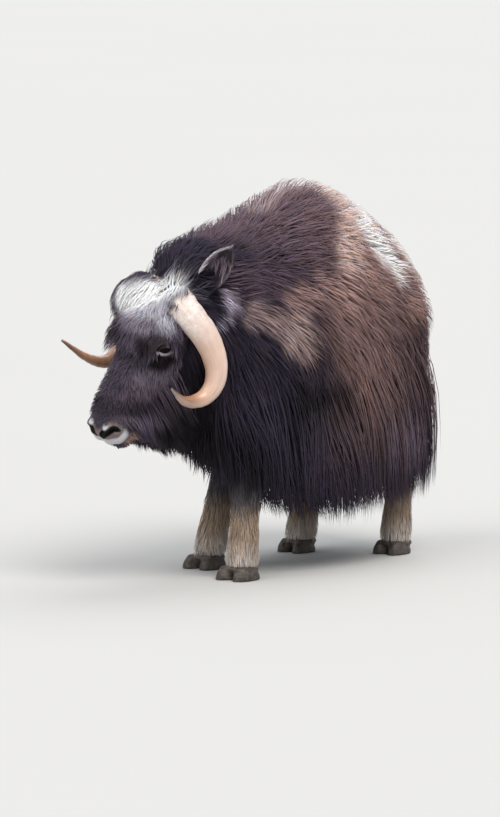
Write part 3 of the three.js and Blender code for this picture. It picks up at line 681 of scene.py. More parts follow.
@dataclass(frozen=True)
class Markings:
    """The colours of the whole animal, for skin and coat alike."""

    black: Colour = (0.024, 0.018, 0.032)
    brown: Colour = (0.215, 0.130, 0.122)
    warm: Colour = (0.310, 0.190, 0.172)
    face: Colour = (0.074, 0.058, 0.083)
    shin: Colour = (0.085, 0.075, 0.080)
    leg: Colour = (0.32, 0.235, 0.170)
    foot: Colour = (0.60, 0.52, 0.46)
    ear: Colour = (0.055, 0.042, 0.052)
    ear_rim: Colour = (0.60, 0.52, 0.58)
    patches: tuple[Marking, ...] = (
        # neck, shoulder, hump, and a painted highlight along the spine
        Marking(((0.16, -0.08, 0.94), (0.20, -0.01, 0.934), (0.20, 0.098, 0.937)), 0.070,
                (0.098, 0.062, 0.082), 0.7),
        Marking(((0.17, 0.12, 0.99), (0.20, 0.22, 0.98), (0.205, 0.31, 1.01)), 0.115, (0.070, 0.045, 0.062),
                0.8),
        Marking(((0.0, 0.08, 1.10), (0.12, 0.26, 1.11), (0.08, 0.40, 1.15)), 0.160, (0.108, 0.070, 0.088),
                0.88),
        # painted highlight: a paler line along the top of the back over the hump
        Marking(((0.0, 0.42, 1.21), (0.0, 0.20, 1.17)), 0.060, (0.30, 0.235, 0.24), 0.7),
        # painted shade: near black in the hollow behind the elbow, on the chest under the head and down the
        # throat
        Marking(((0.26, 0.14, 0.55), (0.28, 0.24, 0.53), (0.28, 0.34, 0.54)), 0.075, (0.006, 0.004, 0.006),
                0.9),
        Marking(((0.10, -0.12, 0.42), (0.17, -0.05, 0.40), (0.20, 0.0, 0.33)), 0.085, (0.005, 0.004, 0.006),
                0.9),
        Marking(((0.11, -0.20, 0.65), (0.10, -0.16, 0.55), (0.08, -0.16, 0.48), (0.03, -0.10, 0.41)), 0.062,
                (0.004, 0.003, 0.005), 0.95),
        # the lighter stripe from the neck down over the shoulder
        Marking(((0.20, -0.02, 0.84), (0.234, 0.06, 0.795), (0.255, 0.13, 0.775)), 0.052,
                (0.31, 0.215, 0.21), 0.85),
        Marking(((0.24, 0.13, 0.865), (0.255, 0.27, 0.90)), 0.055, (0.33, 0.205, 0.190), 0.8),
        Marking(((0.260, 0.138, 0.750), ), 0.078, (0.42, 0.295, 0.275), 0.85),
        Marking(((0.186, -0.110, 0.890), (0.190, -0.106, 0.850)), 0.034, (0.72, 0.62, 0.78), 0.95),
        Marking(((0.170, -0.122, 0.815), ), 0.024, (0.55, 0.48, 0.60), 0.8),
        # the lighter band from the flank up to the saddle
        Marking(((0.263, 0.368, 0.845), (0.235, 0.40, 0.93)), 0.060, (0.42, 0.26, 0.24), 0.75),
        Marking(((0.222, 0.430, 0.985), (0.18, 0.465, 1.05), (0.134, 0.520, 1.12), (0.0, 0.51, 1.18)),
                0.070, (0.64, 0.46, 0.41), 0.85),
        # the lower rump and the hem behind
        Marking(((0.263, 0.593, 0.391), (0.224, 0.770, 0.371)), 0.060, (0.155, 0.115, 0.150), 0.7),
        Marking(((0.204, 0.790, 0.812), ), 0.075, (0.42, 0.25, 0.21), 0.6),
        # the pale saddle
        Marking(((0.0, 0.66, 1.13), (0.147, 0.630, 1.045), (0.168, 0.715, 0.955)), 0.082,
                (0.93, 0.86, 0.84), 1.0),
        # cheek, the dark and the paler band over the muzzle, lip corner, and painted shade under the jaw and
        # on the throat
        Marking(((0.076, -0.268, -0.032), (0.087, -0.235, -0.077), (0.105, -0.169, -0.070)), 0.045,
                (0.19, 0.150, 0.195), 0.85, True),
        Marking(((0.064, -0.325, -0.032), (0.080, -0.292, -0.075)), 0.040, (0.135, 0.102, 0.132), 0.75,
                True),
        Marking(((0.0, -0.405, -0.025), (0.054, -0.383, -0.034), (0.071, -0.350, -0.065),
                (0.081, -0.323, -0.108), (0.113, -0.295, -0.128), (0.156, -0.244, -0.176)), 0.034,
                (0.038, 0.029, 0.040), 0.9, True),
        Marking(((0.060, -0.414, -0.066), (0.075, -0.381, -0.098), (0.093, -0.357, -0.123),
                (0.116, -0.325, -0.155)), 0.025, (0.160, 0.124, 0.165), 0.9, True),
        Marking(((0.059, -0.414, -0.150), ), 0.030, (0.46, 0.31, 0.27), 0.85, True),
        # painted shade: near black under the jaw and the throat
        Marking(((0.144, -0.334, -0.210), (0.154, -0.276, -0.221), (0.144, -0.296, -0.269),
                (0.100, -0.350, -0.290)), 0.055, (0.004, 0.003, 0.005), 1.0, True),
        Marking(((0.0, -0.33, -0.275), (0.07, -0.22, -0.275)), 0.070, (0.004, 0.003, 0.005), 1.0, True),
        # brow, crown, and painted shade round the eye: its hollow and the skin under the forelock darkened to
        # near black
        Marking(((0.0, -0.156, 0.081), (0.050, -0.140, 0.080)), 0.030, (0.25, 0.21, 0.27), 0.85, True),
        Marking(((-0.050, -0.112, 0.087), (0.008, -0.099, 0.087), (0.057, -0.079, 0.086),
                (0.098, -0.105, 0.063)), 0.036, (0.56, 0.53, 0.61), 0.85, True, False),
        Marking(((-0.113, -0.078, 0.082), (-0.072, -0.070, 0.090), (-0.020, -0.032, 0.090),
                (0.036, 0.002, 0.084)), 0.056, (0.95, 0.95, 0.98), 1.0, True, False),
        # painted shade: the hollow round the eye darkened to near black
        Marking(((0.060, -0.194, 0.058), (0.086, -0.190, 0.048), (0.098, -0.172, 0.040)), 0.033,
                (0.010, 0.006, 0.008), 1.0, True),
        Marking(((0.096, -0.196, 0.040), (0.100, -0.192, 0.022)), 0.022, (0.012, 0.008, 0.010), 1.0, True),
        Marking(((0.091, -0.206, -0.014), (0.098, -0.186, -0.028)), 0.028, (0.012, 0.009, 0.014), 1.0,
                True),
        Marking(((0.105, -0.190, 0.004), (0.104, -0.176, -0.022), (0.106, -0.152, -0.046)), 0.026,
                (0.018, 0.013, 0.018), 1.0, True),
        Marking(((0.101, -0.149, 0.049), (0.085, -0.160, 0.058)), 0.028, (0.040, 0.027, 0.031), 0.95, True),
    )

    def ear_colour(self, head: Array) -> Array:
        """The colour of the ears: dark on the back, pale along the rim, and much paler along one edge than
        the other as painted light.
        """
        pale = np.zeros(len(head))
        for label, (*_, width) in EARS.items():
            t, ahead, across = in_ear(head, label)
            near = np.hypot(ahead, across * EAR_HALF_WIDTH * width) < 0.06
            leaf = np.clip((0.70 + 1.10 * t - t * t) * (1 - np.clip(t, 0, 1) ** 2.8), 0.15, 1.0)
            rim = np.maximum(smooth_step(np.abs(across) / leaf, 0.72, 0.92), smooth_step(t, 0.86, 0.98))
            # pale rim hair, made much paler on one edge than the other as painted light
            pale = np.maximum(pale, near * rim * np.where(across > 0, 1.0, 0.12) * width**2)
        return blend(np.array(self.ear), np.array(self.ear_rim), pale[:, None])

    def lids(self, head: Array, under: Array) -> Array:
        """The colour of the bare skin round the eyes: dark, and reaching further towards the inner corner as
        painted shade of the eye's hollow, with a pale rim below the eye and a painted highlight on the upper
        lid's fold.

        Args:
            head: The points in the head's frame.
            under: The colours further out.

        Returns:
            Colours, one a row.
        """
        x, y, z = in_eye(head).T
        front = z > 0
        reach, upper, lower = LID_REACH
        ring = np.hypot(x / reach, y / np.where(y > 0, upper, lower))
        # dark lid skin, carried further towards the inner corner as painted shade of the eye's hollow
        near = (1 - smooth_step(np.hypot(along_slit(x), y), 0.014, 0.026)) * front
        made = blend(under, np.array(LID_DARK), near[:, None])
        pale = smooth_step(ring, 1.12, 1.30) * (1 - smooth_step(ring, 2.0, 2.6))
        pale = pale * smooth_step(-y, 0.001, 0.005) * front
        made = blend(made, np.array(LID_PALE), pale[:, None] * 0.95)
        inner = 1 + 0.5 * smooth_step(-x, 0.002, 0.014) * pale
        made = np.clip(made * inner[:, None], 0, 0.9)
        # painted highlight: a pale bluish spot on the upper lid's fold
        fold = (1 - smooth_step(np.hypot(x - 0.012, (y - 0.0135) * 1.6), 0.003, 0.012)) * front
        return blend(made, np.array(LID_FOLD_HIGHLIGHT), fold[:, None] * 0.7)

    def nose(self, head: Array) -> Array:
        """The colour of the bare nose and upper lip, with a painted highlight above each nostril and painted
        black shade inside the nostrils.
        """
        made = blend(np.array(BARE_NOSE), np.array(PALE_LIP), lip_share(head)[:, None])
        # painted highlight: a pale bluish spot above the nostril
        wing = 1 - smooth_step(np.linalg.norm(mirrored(head) - NOSE_WING_AT, axis=1), 0.006, 0.015)
        made = blend(made, np.array(PAINTED_NOSE_GLINT), wing[:, None] * 0.85)
        # painted shade: black on the walls inside the nostrils
        return blend(made, np.array(PAINTED_NOSTRIL_SHADE), nostril_share(head)[:, None])

    def trunk(self, body: Array, uneven: Array) -> Array:
        """The ground colour of the body: black in front and below, brown behind, warmer over the rump.

        Args:
            body: The points in the body's frame.
            uneven: How far each point's place along the body is taken to lie from its own.

        Returns:
            Colours, one a row.
        """
        y, z = body[:, 1] + uneven, body[:, 2]
        rear = smooth_step(y + 0.08 * smooth_step(z, 0.62, 0.80), 0.18, 0.44)
        shaded = smooth_step(y, 0.50, 0.78) * (1 - smooth_step(z, 0.72, 0.84))
        light = rear * smooth_step(z, 0.26, 0.66) * (1 - 0.65 * shaded)
        made = blend(np.array(self.black), np.array(self.brown), light[:, None])
        return blend(made, np.array(self.warm), (rear * smooth_step(z, 0.82, 0.95))[:, None])

    def at(self, p: Array, part: Array) -> Array:
        """The colour of the animal at each point.

        Args:
            p: Points on or near the skin.
            part: For each point, the index of its Part.

        Returns:
            Colours, one a row.
        """
        body, head = p - BODY_AT, to_head(p)
        made = self.trunk(body, 0.03 * Ripple(0.30, 3).at(p))
        on_head = (part == index_of(Part.HEAD)) | (part == index_of(Part.BOSS))
        by_head = np.maximum(on_head, (part == index_of(Part.NECK)) * smooth_step(head[:, 2], 0.0, 0.04))
        made[on_head] = self.face
        on_ear = part == index_of(Part.EAR)
        made[on_ear] = self.ear_colour(head)[on_ear]
        z = body[:, 2]
        stocking = (part == index_of(Part.LEG)) * (1 - smooth_step(z, 0.22, 0.36))
        leg = blend(np.array(self.leg), np.array(self.foot), (1 - smooth_step(z, 0.04, 0.14))[:, None])
        leg = blend(leg, np.array(self.shin), smooth_step(z, 0.16, 0.25)[:, None])
        made = blend(made, leg, stocking[:, None])
        uneven = np.stack([Ripple(0.09, seed).at(p) for seed in (21, 22, 23)], 1)
        body, head = body + 0.020 * uneven, head + 0.006 * uneven
        for patch in self.patches:
            share = patch.share(body, head)
            if patch.on_head:
                share = share * by_head * smooth_step(-head[:, 1], -0.100, -0.050)
            else:
                share = share * ~(on_head | on_ear)
            made = blend(made, np.array(patch.colour), share[:, None])
        return made


def index_of(part: Part) -> int:
    """A part's number."""
    return list(Part).index(part)


# THE SKIN


@dataclass
class Skin:
    """One closed skin over trunk, neck, head, ears, legs and tail, inside the coat's core."""

    trunk_depth: float = 0.040
    neck_depth: float = 0.026
    head_depth: float = 0.007
    leg_depth: float = 0.010
    body_voxel: float = 0.0105
    head_voxel: float = 0.0030

    def leg(self, bm: bmesh.types.BMesh, name: str) -> None:
        """Adds one leg, from its hoof up into the trunk."""
        hoof, knee, root, hind = LEGS[name]
        shares = (-0.05, 0.02, 0.15, 0.45, 0.80, 1.0)
        heights = (0.040, 0.060, 0.092, 0.190, 0.270, 0.340)
        wides = (0.050, 0.053, 0.054, 0.047 if hind else 0.049, 0.054, 0.058)
        deeps = (0.053, 0.056, 0.058, 0.052, 0.060, 0.072 if hind else 0.064)
        rows = []
        for share, z, wide, deep in zip(shares, heights, wides, deeps):
            x, y = (low + (high - low) * share for low, high in zip(hoof, knee))
            rows.append((x, y, z, wide, deep))
        rows.append((*root, 0.52, 0.062, 0.090))
        self.limb(bm, np.array(rows) - [0, 0, 0, self.leg_depth, self.leg_depth], 40, 24)

    def limb(self, bm: bmesh.types.BMesh, stations: Array, rings: int, sides: int) -> None:
        """Adds a tube along stations of the body's frame, each with its half width and half depth.

        Args:
            bm: Where to add it.
            stations: The stations.
            rings: How many rings it has.
            sides: How many points each ring has.
        """
        line = curve_points(stations, rings)
        line[:, :3] += BODY_AT
        bridge(bm, tube_rings(line, (1, 0, 0), sides))

    def body(self) -> bpy.types.Object:
        """The trunk, neck, legs and tail, fused."""
        bm = bmesh.new()
        TRUNK.loft(bm, 44, 48, -self.trunk_depth)
        NECK.loft(bm, 24, 36, -self.neck_depth)
        bmesh.ops.translate(bm, vec=FORE_FEET, verts=bm.verts)
        for name in LEGS:
            self.leg(bm, name)
        self.limb(bm, TAIL, 20, 12)
        made = remesh(object_of(bm, "skin"), self.body_voxel)
        return modify(made, "SMOOTH", factor=0.6, iterations=4)

    def build(self) -> bpy.types.Object:
        """Makes the whole skin, closed."""
        made = combine(self.body(), HeadSkin(self.head_depth, self.head_voxel).build(), "UNION")
        LOG.info("skin: %d faces", len(made.data.polygons))
        return made


@dataclass
class HeadSkin:
    """The skin of the head with its folds, lids, nostrils, lips and ears, in the head's frame."""

    depth: float
    voxel: float

    def ball(self, bm: bmesh.types.BMesh, at: Vector, radii: Vector) -> None:
        """Adds an ellipsoid."""
        matrix = Matrix.Translation(at) @ Matrix.Diagonal((*radii, 1.0))
        bmesh.ops.create_uvsphere(bm, u_segments=28, v_segments=18, radius=1.0, matrix=matrix)

    def lid_ring(self, angle: float) -> list[Vector]:
        """One ring of the lids, from the slit's edge out to the cheek and back under the skin.

        Args:
            angle: Where round the slit, in radians from its outer corner.

        Returns:
            The ring's points, in the eye's frame.
        """
        reach, upper, lower = LID_REACH
        ca, sa = math.cos(angle), math.sin(angle)
        edge = Vector((ca * reach, sa * abs(sa) ** 0.35 * (upper if sa > 0 else lower), 0.0))
        out = Vector((ca * 0.75, sa, 0.0)).normalized()
        heavy = 0.0014 * max(sa, 0.0)
        ring = []
        edges = ((0.0, 0.0004), (0.0006, 0.0026 + heavy), (0.0040, 0.0036 + heavy), (0.0080, 0.0010))
        for away, height in edges:
            at = edge + out * away
            at.z = math.sqrt(max((EYE_RADIUS + height) ** 2 - at.x**2 - at.y**2, LID_LOWEST))
            ring.append(at)
        for away, height in ((0.0125, 0.0030 if sa > 0 else 0.0016), (0.0170, 0.0), (0.0240, -0.0050)):
            at = edge + out * away
            at.z = LID_TOP - (BROW_RADIUS - math.sqrt(BROW_RADIUS**2 - at.x**2 - at.y**2)) + height
            ring.append(at)
        return [*ring, edge * 1.9 + Vector((0, 0, 0.001))]

    def lids(self, side: int) -> bpy.types.Object:
        """Makes the upper and the lower lid of one eye, with the crease above and below, as one ring.

        Args:
            side: LEFT or RIGHT.

        Returns:
            The ring, which the head's skin takes in.
        """
        to_row = HEAD @ eye_matrix(side)
        count = 56
        rings = [self.lid_ring(2 * math.pi * k / count) for k in range(count)]
        bm = bmesh.new()
        bridge(bm, [[to_row @ at for at in ring] for ring in rings], endless=True)
        return object_of(bm, "lids")

    def ear(self, label: str) -> bpy.types.Object:
        """Makes one ear: a pointed leaf, rolled at its root and hollow in front.

        Args:
            label: left or right.

        Returns:
            The ear, which the head's skin takes in.
        """
        root, tip, faces = (Vector(v) for v in EARS[label][:3])
        width = EAR_HALF_WIDTH * EARS[label][3]
        along = (tip - root).normalized()
        length = (tip - root).length
        front = (faces - along * faces.dot(along)).normalized()
        across = front.cross(along).normalized()
        loops = []
        for share in np.linspace(0, 1, 34):
            t = share * 1.30 - 0.28
            on = max(t, 0.0)
            wall = 0.0048 - 0.0026 * share
            half = width * (0.70 + 1.10 * on - on * on) * max(1 - on**2.8, 0.03)
            bend = math.radians(112 - 54 * min(1.0, on * 1.5))
            radius = half / math.sin(min(bend, math.pi / 2))
            place = root + along * (length * t) + front * (radius * 0.35 - 0.012 * on * on)
            outer, inner = [], []
            for a in np.linspace(-bend, bend, 19):
                way = across * math.sin(a) - front * math.cos(a)
                lip = 0.0010 * math.cos(a) ** 2
                outer.append(HEAD @ (place + way * (radius + wall / 2 + lip)))
                inner.append(HEAD @ (place + way * max(radius - wall / 2, 0.0012)))
            loops.append([*outer, *inner[::-1]])
        bm = bmesh.new()
        bridge(bm, loops)
        return object_of(bm, f"ear_leaf_{label}")

    def nose(self, bm: bmesh.types.BMesh, side: int) -> None:
        """Adds the swell above and beside one nostril, the upper lip and the chin."""
        for at, radii in NOSE_SWELLS:
            self.ball(bm, Vector((at[0] * side, *at[1:])), Vector(radii))

    def cutters(self) -> bpy.types.Object:
        """The hollows of the nostrils and the line of the mouth."""
        bm = bmesh.new()
        for side in (LEFT, RIGHT):
            line = curve_points(NOSTRIL, 24)
            line[:, 0] *= side
            line[:, 1] += NOSTRIL_INWARD
            line[:, 3:] *= NOSTRIL_OPENING
            bridge(bm, tube_rings(line, (0, 0.4, 1), 12))
        right = MOUTH[::-1] * [-1, 1, 1, 1, 1]
        bridge(bm, tube_rings(curve_points(np.vstack([MOUTH, right]), 60), (0, 0, 1), 10))
        return object_of(bm, "cutters")

    def build(self) -> bpy.types.Object:
        """Makes the head's skin with its ears, closed, in the row's frame."""
        bm = bmesh.new()
        SKULL.loft(bm, 60, 48, -self.depth)
        JAW.loft(bm, 30, 40, -self.depth + 0.002)
        for side in (LEFT, RIGHT):
            self.ball(bm, Vector((ORBIT_AT.x * side, ORBIT_AT.y, ORBIT_AT.z)), ORBIT_RADII)
            self.nose(bm, side)
        made = remesh(object_of(bm, "head_skin"), self.voxel)
        modify(made, "SMOOTH", factor=0.6, iterations=10)
        combine(made, self.cutters(), "DIFFERENCE")
        modify(made, "SMOOTH", factor=0.4, iterations=2)
        made.data.transform(HEAD)
        socket = bmesh.new()
        for side in (LEFT, RIGHT):
            at = HEAD @ eye_matrix(side).translation
            self.ball(socket, at, Vector((1, 1, 1)) * (EYE_RADIUS + SOCKET_GAP))
        combine(made, object_of(socket, "sockets"), "DIFFERENCE")
        for side in (LEFT, RIGHT):
            combine(made, self.lids(side), "UNION")
        for label in EARS:
            combine(made, self.ear(label), "UNION")
        return made


# EYES, HORNS AND HOOVES


@dataclass
class Eye:
    """One eyeball with a clear bulge in front, turned to where it looks."""

    side: int

    def build(self) -> bpy.types.Object:
        """Makes the eyeball in the row's frame."""
        bm = bmesh.new()
        bmesh.ops.create_uvsphere(bm, u_segments=40, v_segments=28, radius=EYE_RADIUS)
        for v in bm.verts:
            share = max(0.0, v.co.z / EYE_RADIUS - 0.72) / 0.28
            v.co += Vector((0, 0, CORNEA_RISE)) * share * share
        layer = bm.verts.layers.float_vector.new("gaze")
        for v in bm.verts:
            v[layer] = v.co / EYE_RADIUS
        bmesh.ops.transform(bm, matrix=HEAD @ eye_matrix(self.side), verts=bm.verts)
        made = object_of(bm, f"eyeball_{side_name(self.side)}")
        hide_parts(f"eye_{side_name(self.side)}")
        LOG.info("%s", made.name)
        return made


def side_name(side: int) -> str:
    """The word for a side."""
    return "left" if side > 0 else "right"


@dataclass
class Horn:
    """One horn: a flattened boss on the brow, then a round, tapering hook."""

    side: int
    rings: int = 150
    sides: int = 40

    def build(self) -> bpy.types.Object:
        """Makes the horn in the row's frame, with how far along and round it each point lies."""
        line = curve_points(HORN, self.rings)
        line[:, 0] *= self.side
        rings = tube_rings(line, (0, 1, 0), self.sides)
        share = np.linspace(0, 1, self.rings)
        angle = 2 * math.pi * np.arange(self.sides) / self.sides
        fine, rough = Ripple(0.012, 40 + self.side), Ripple(0.030, 44 + self.side)
        base = 1 - smooth_step(share, 0.10, 0.42)
        for k, ring in enumerate(rings):
            grooves = np.sin(angle * 9 + rough.at(ring) * 3)
            height = base[k] * (0.0007 * fine.at(ring) + 0.0012 * rough.at(ring) + 0.0006 * grooves)
            height += 0.0005 * rough.at(ring)
            rings[k] = ring + unit(ring - line[k, :3]) * height[:, None]
        bm = bmesh.new()
        bridge(bm, rings)
        made = object_of(bm, f"horn_sheath_{side_name(self.side)}")
        mesh = made.data
        grain = np.zeros((len(mesh.vertices), 3))
        round_ = np.tile(np.stack([np.cos(angle), np.sin(angle)], 1), (self.rings, 1))
        grain[: len(round_)] = np.column_stack([round_, np.repeat(share, self.sides)])
        store(mesh, "along", grain[:, 2])
        store(mesh, "grain", grain)
        mesh.transform(HEAD)
        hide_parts(f"horn_{side_name(self.side)}")
        LOG.info("%s", made.name)
        return made


@dataclass
class Hoof:
    """One cloven hoof, smoothed from its solid, flat on the floor."""

    name: str

    def build(self) -> bpy.types.Object:
        """Makes the hoof in the row's frame."""
        bm = bmesh.new()
        bm.from_mesh(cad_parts[f"hoof_{self.name}"].data)
        bmesh.ops.remove_doubles(bm, verts=bm.verts, dist=1e-5)
        made = remesh(object_of(bm, f"claws_{self.name}"), 0.0035)
        modify(made, "SMOOTH", factor=0.5, iterations=5)
        places = read(made.data.vertices, "co")
        places[:, 2] = np.maximum(places[:, 2] - SOLE_DROP, 0.0)
        write(made.data.vertices, "co", places)
        made.data.update()
        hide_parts(f"hoof_{self.name}")
        LOG.info("%s", made.name)
        return made


# THE COAT


def faces_of(mesh: bpy.types.Mesh) -> tuple[Array, Array, Array]:
    """The triangles of a mesh.

    Args:
        mesh: The mesh.

    Returns:
        Their corners, the normals there, and the corners' places on the unwrapped mesh if it has any.
    """
    mesh.calc_loop_triangles()
    count = len(mesh.loop_triangles)
    tris, loops = np.empty(count * 3, np.int32), np.empty(count * 3, np.int32)
    mesh.loop_triangles.foreach_get("vertices", tris)
    mesh.loop_triangles.foreach_get("loops", loops)
    tris, loops = tris.reshape(-1, 3), loops.reshape(-1, 3)
    chart = np.zeros(len(mesh.loops) * 2, np.float32)
    if mesh.uv_layers:
        mesh.uv_layers["Unwrap"].data.foreach_get("uv", chart)
    places, normals = read(mesh.vertices, "co"), read(mesh.vertex_normals, "vector")
    return places[tris], normals[tris], chart.reshape(-1, 2)[loops]


@dataclass(frozen=True)
class Hair:
    """One kind of hair.

    Lengths, widths and heights are in metres. lift is how far a lock's tip lies over the coat's core; gather
    is how much the hairs of a lock come together at its tip; soften is how much of the body's own roundness
    the light sees on them.
    """

    name: str
    part: Part
    count: int
    length: tuple[float, float]
    width: float
    lift: tuple[float, float]
    where: Callable[[Array, Array], Array]
    way: Callable[[Array, Array], Array]
    steps: int = 5
    hug: float = 0.6
    gather: float = 0.7
    per_lock: int = 9
    wave: float = 0.004
    flat: float = 0.4
    stand: float = 0.3
    stray: float = 0.10
    shade: tuple[float, float] = (0.70, 1.25)
    soften: float = 1.1
    reach: Callable[[Array], Array] | None = None
    fuller: Callable[[Array], Array] | None = None


@dataclass
class Roots:
    """Where hairs grow: place, way out, place on the unwrapped skin and part of the body."""

    at: Array
    out: Array
    chart: Array
    part: Array

    def pick(self, rows: Array) -> "Roots":
        """Some of the roots."""
        return Roots(self.at[rows], self.out[rows], self.chart[rows], self.part[rows])


class Coat:
    """The hair of the whole animal, grown from its skin as joined tufts."""

    def __init__(self, skin: bpy.types.Object, horns: Sequence[bpy.types.Object], markings: Markings) -> None:
        """Reads the faces of the skin and of the horns' inner ends, so that hair can be sown on them.

        Args:
            skin: The unwrapped skin.
            horns: The left and the right horn.
            markings: The animal's colours.
        """
        self.markings = markings
        self.corner, self.normal, self.chart = faces_of(skin.data)
        self.part = part_of(self.corner.mean(1))
        for horn in horns:
            self.add_boss(horn)
        a, b, c = self.corner.transpose(1, 0, 2)
        self.area = np.linalg.norm(np.cross(b - a, c - a), axis=1) / 2
        self.middle = self.corner.mean(1)
        self.facing = unit(np.cross(b - a, c - a))

    def add_boss(self, horn: bpy.types.Object) -> None:
        """Lets hair grow on the inner end of a horn, as it does on a young bull."""
        corner, normal, _ = faces_of(horn.data)
        middle, out = to_head(corner.mean(1)), normal.mean(1) @ HEAD_TURN
        limit = np.where(middle[:, 0] > 0, BOSS_HAIR_LEFT, BOSS_HAIR_RIGHT)
        keep = (np.abs(middle[:, 0]) < limit) & ((out[:, 2] > 0.0) | (middle[:, 0] < -0.10))
        crown = np.flatnonzero(self.part == index_of(Part.HEAD))
        near = crown[nearest(corner[keep, 0], self.corner[crown, 0])]
        self.corner = np.concatenate([self.corner, corner[keep]])
        self.normal = np.concatenate([self.normal, normal[keep]])
        self.chart = np.concatenate([self.chart, self.chart[near]])
        self.part = np.concatenate([self.part, np.full(len(near), index_of(Part.BOSS))])

    def sow(self, hair: Hair, draw: np.random.Generator) -> Roots:
        """Scatters roots over the skin where this kind of hair grows.

        Args:
            hair: The kind of hair.
            draw: Repeatable random numbers.

        Returns:
            The roots.
        """
        grows = np.clip(hair.where(self.middle, self.facing), 0, None)
        weight = self.area * (self.part == index_of(hair.part)) * grows
        total = np.cumsum(weight)
        ticks = (np.arange(hair.count) + draw.random(hair.count)) / hair.count * total[-1]
        face = np.clip(np.searchsorted(total, ticks), 0, len(total) - 1)
        u, v = draw.random((2, hair.count))
        over = u + v > 1
        u[over], v[over] = 1 - u[over], 1 - v[over]
        w = np.stack([1 - u - v, u, v], 1)[:, :, None]
        at = (self.corner[face] * w).sum(1)
        out = unit((self.normal[face] * w).sum(1))
        chart = (self.chart[face] * w).sum(1)
        return Roots(at, out, chart, self.part[face])

    def grow(self, hair: Hair, roots: Roots, length: Array, layer: Array) -> Array:
        """The path of each hair, from under the skin to its tip.

        Args:
            hair: The kind of hair.
            roots: Where it grows.
            length: How long each one is.
            layer: From 0 for the deepest to 1 for the outermost.

        Returns:
            Paths as (hair, step, xyz).
        """
        p = roots.at.copy()
        path = [roots.at - roots.out * ROOT_DEPTH]
        stride = (length / hair.steps)[:, None]
        ahead = roots.out
        tip = hair.lift[0] + (hair.lift[1] - hair.lift[0]) * layer
        if hair.fuller is not None:
            tip = tip + hair.fuller(p)
        clings = hair.part in (Part.TRUNK, Part.NECK, Part.HEAD, Part.BOSS)
        start = body_distance(p)
        draw = np.random.default_rng(hair.count)
        wild = np.where(draw.random(len(p)) < 0.08, 3.0, 1.0)
        turn = (draw.normal(size=len(p)) * hair.stray * wild)[:, None]
        for i in range(1, hair.steps + 1):
            t = i / hair.steps
            n = outward(p) if clings else roots.out
            way = hair.way(p, n)
            leaving = (way * n).sum(1, keepdims=True)
            way = unit(way - n * leaving * np.where(leaving < 0, 1.0, hair.hug))
            way = way * np.cos(turn) + np.cross(n, way) * np.sin(turn)
            way = unit(way + n * hair.stand * (1 - t) ** 1.5)
            ahead = unit(way * 0.75 + ahead * 0.25) if i > 1 else unit(way + roots.out * hair.stand)
            p = p + ahead * stride
            if clings:
                short = start + (tip - start) * min(1.0, t * 1.5) ** 0.8 - body_distance(p)
                rise = np.clip(short, -0.25 * stride[:, 0], 0.55 * stride[:, 0])
                p = p + n * np.where(short > 0, rise, rise * hair.hug)[:, None]
            path.append(p.copy())
        return np.stack(path, 1)

    def gather(self, hair: Hair, roots: Roots, paths: Array, draw: np.random.Generator) -> Array:
        """Draws the hairs of each lock together towards its tip.

        Args:
            hair: The kind of hair.
            roots: Where it grows.
            paths: The hairs' own paths.
            draw: Repeatable random numbers.

        Returns:
            The changed paths.
        """
        made = paths
        count, steps = paths.shape[:2]
        t = np.linspace(0, 1, steps)[None, :, None]
        for group, strength in ((hair.per_lock, hair.gather), (hair.per_lock * 7, hair.gather * 0.5)):
            heads = draw.choice(count, max(count // group, 1), replace=False)
            near = heads[nearest(roots.at, roots.at[heads])]
            own = strength * draw.uniform(0.55, 1.1, (count, 1, 1))
            pull = np.clip(own * t**1.4, 0, 0.93)
            made = made + (made[near] - made) * pull
        return made

    def tuft_faces(self, rings: int) -> tuple[Array, Array]:
        """The corners of one tuft's faces.

        Args:
            rings: How many rings of three points it has below its tip.

        Returns:
            The faces of four corners and those of three.
        """
        quads = []
        for row in range(0, rings * 3 - 3, 3):
            quads += [(row + k, row + k + 3, row + (k + 1) % 3 + 3, row + (k + 1) % 3) for k in range(3)]
        last = rings * 3 - 3
        tips = [(last + k, rings * 3, last + (k + 1) % 3) for k in range(3)]
        return np.array(quads), np.array([(0, 1, 2), *tips])

    def mesh(
        self, name: str, hair: Hair, paths: Array, roots: Roots, width: Array, colour: Array
    ) -> bpy.types.Object:
        """Builds one coat piece: a flat, tapered, closed tuft along each path.

        Args:
            name: The piece's name.
            hair: The kind of hair.
            paths: The paths.
            roots: Where they start.
            width: Half width of each.
            colour: The colours along each path.

        Returns:
            The piece.
        """
        count, steps = paths.shape[:2]
        rings, per = steps - 1, steps * 3 - 2
        ways = unit(np.gradient(paths, axis=1))
        side = unit(np.cross(ways, roots.out[:, None, :]))
        up = np.cross(side, ways)
        t = np.linspace(0, 1, steps)
        taper = np.where(t < 0.3, 0.7 + t, 1.0 - (np.maximum(t - 0.3, 0) / 0.7) ** 1.6 * 0.85)[None, :, None]
        soft = roots.out[:, None, :] * hair.soften
        wide = side * (width[:, None, None] * taper)
        rise = up * (width[:, None, None] * taper * hair.flat)
        points = np.stack([paths + wide - rise * 0.4, paths + rise, paths - wide - rise * 0.4], 2)
        facing = np.stack([side * 0.8 - up * 0.4 + soft, up + soft, -side * 0.8 - up * 0.4 + soft], 2)
        verts = np.concatenate([points[:, :rings].reshape(count, -1, 3), paths[:, -1:]], 1)
        facing = np.concatenate([facing[:, :rings].reshape(count, -1, 3), up[:, -1:] + soft], 1)
        shift = (np.arange(count) * per)[:, None, None]
        quads, tips = (faces[None] + shift for faces in self.tuft_faces(rings))
        loops = np.concatenate([quads.reshape(-1), tips.reshape(-1)]).astype(np.int32)
        sizes = np.repeat([4, 3], [quads.size // 4, tips.size // 3])
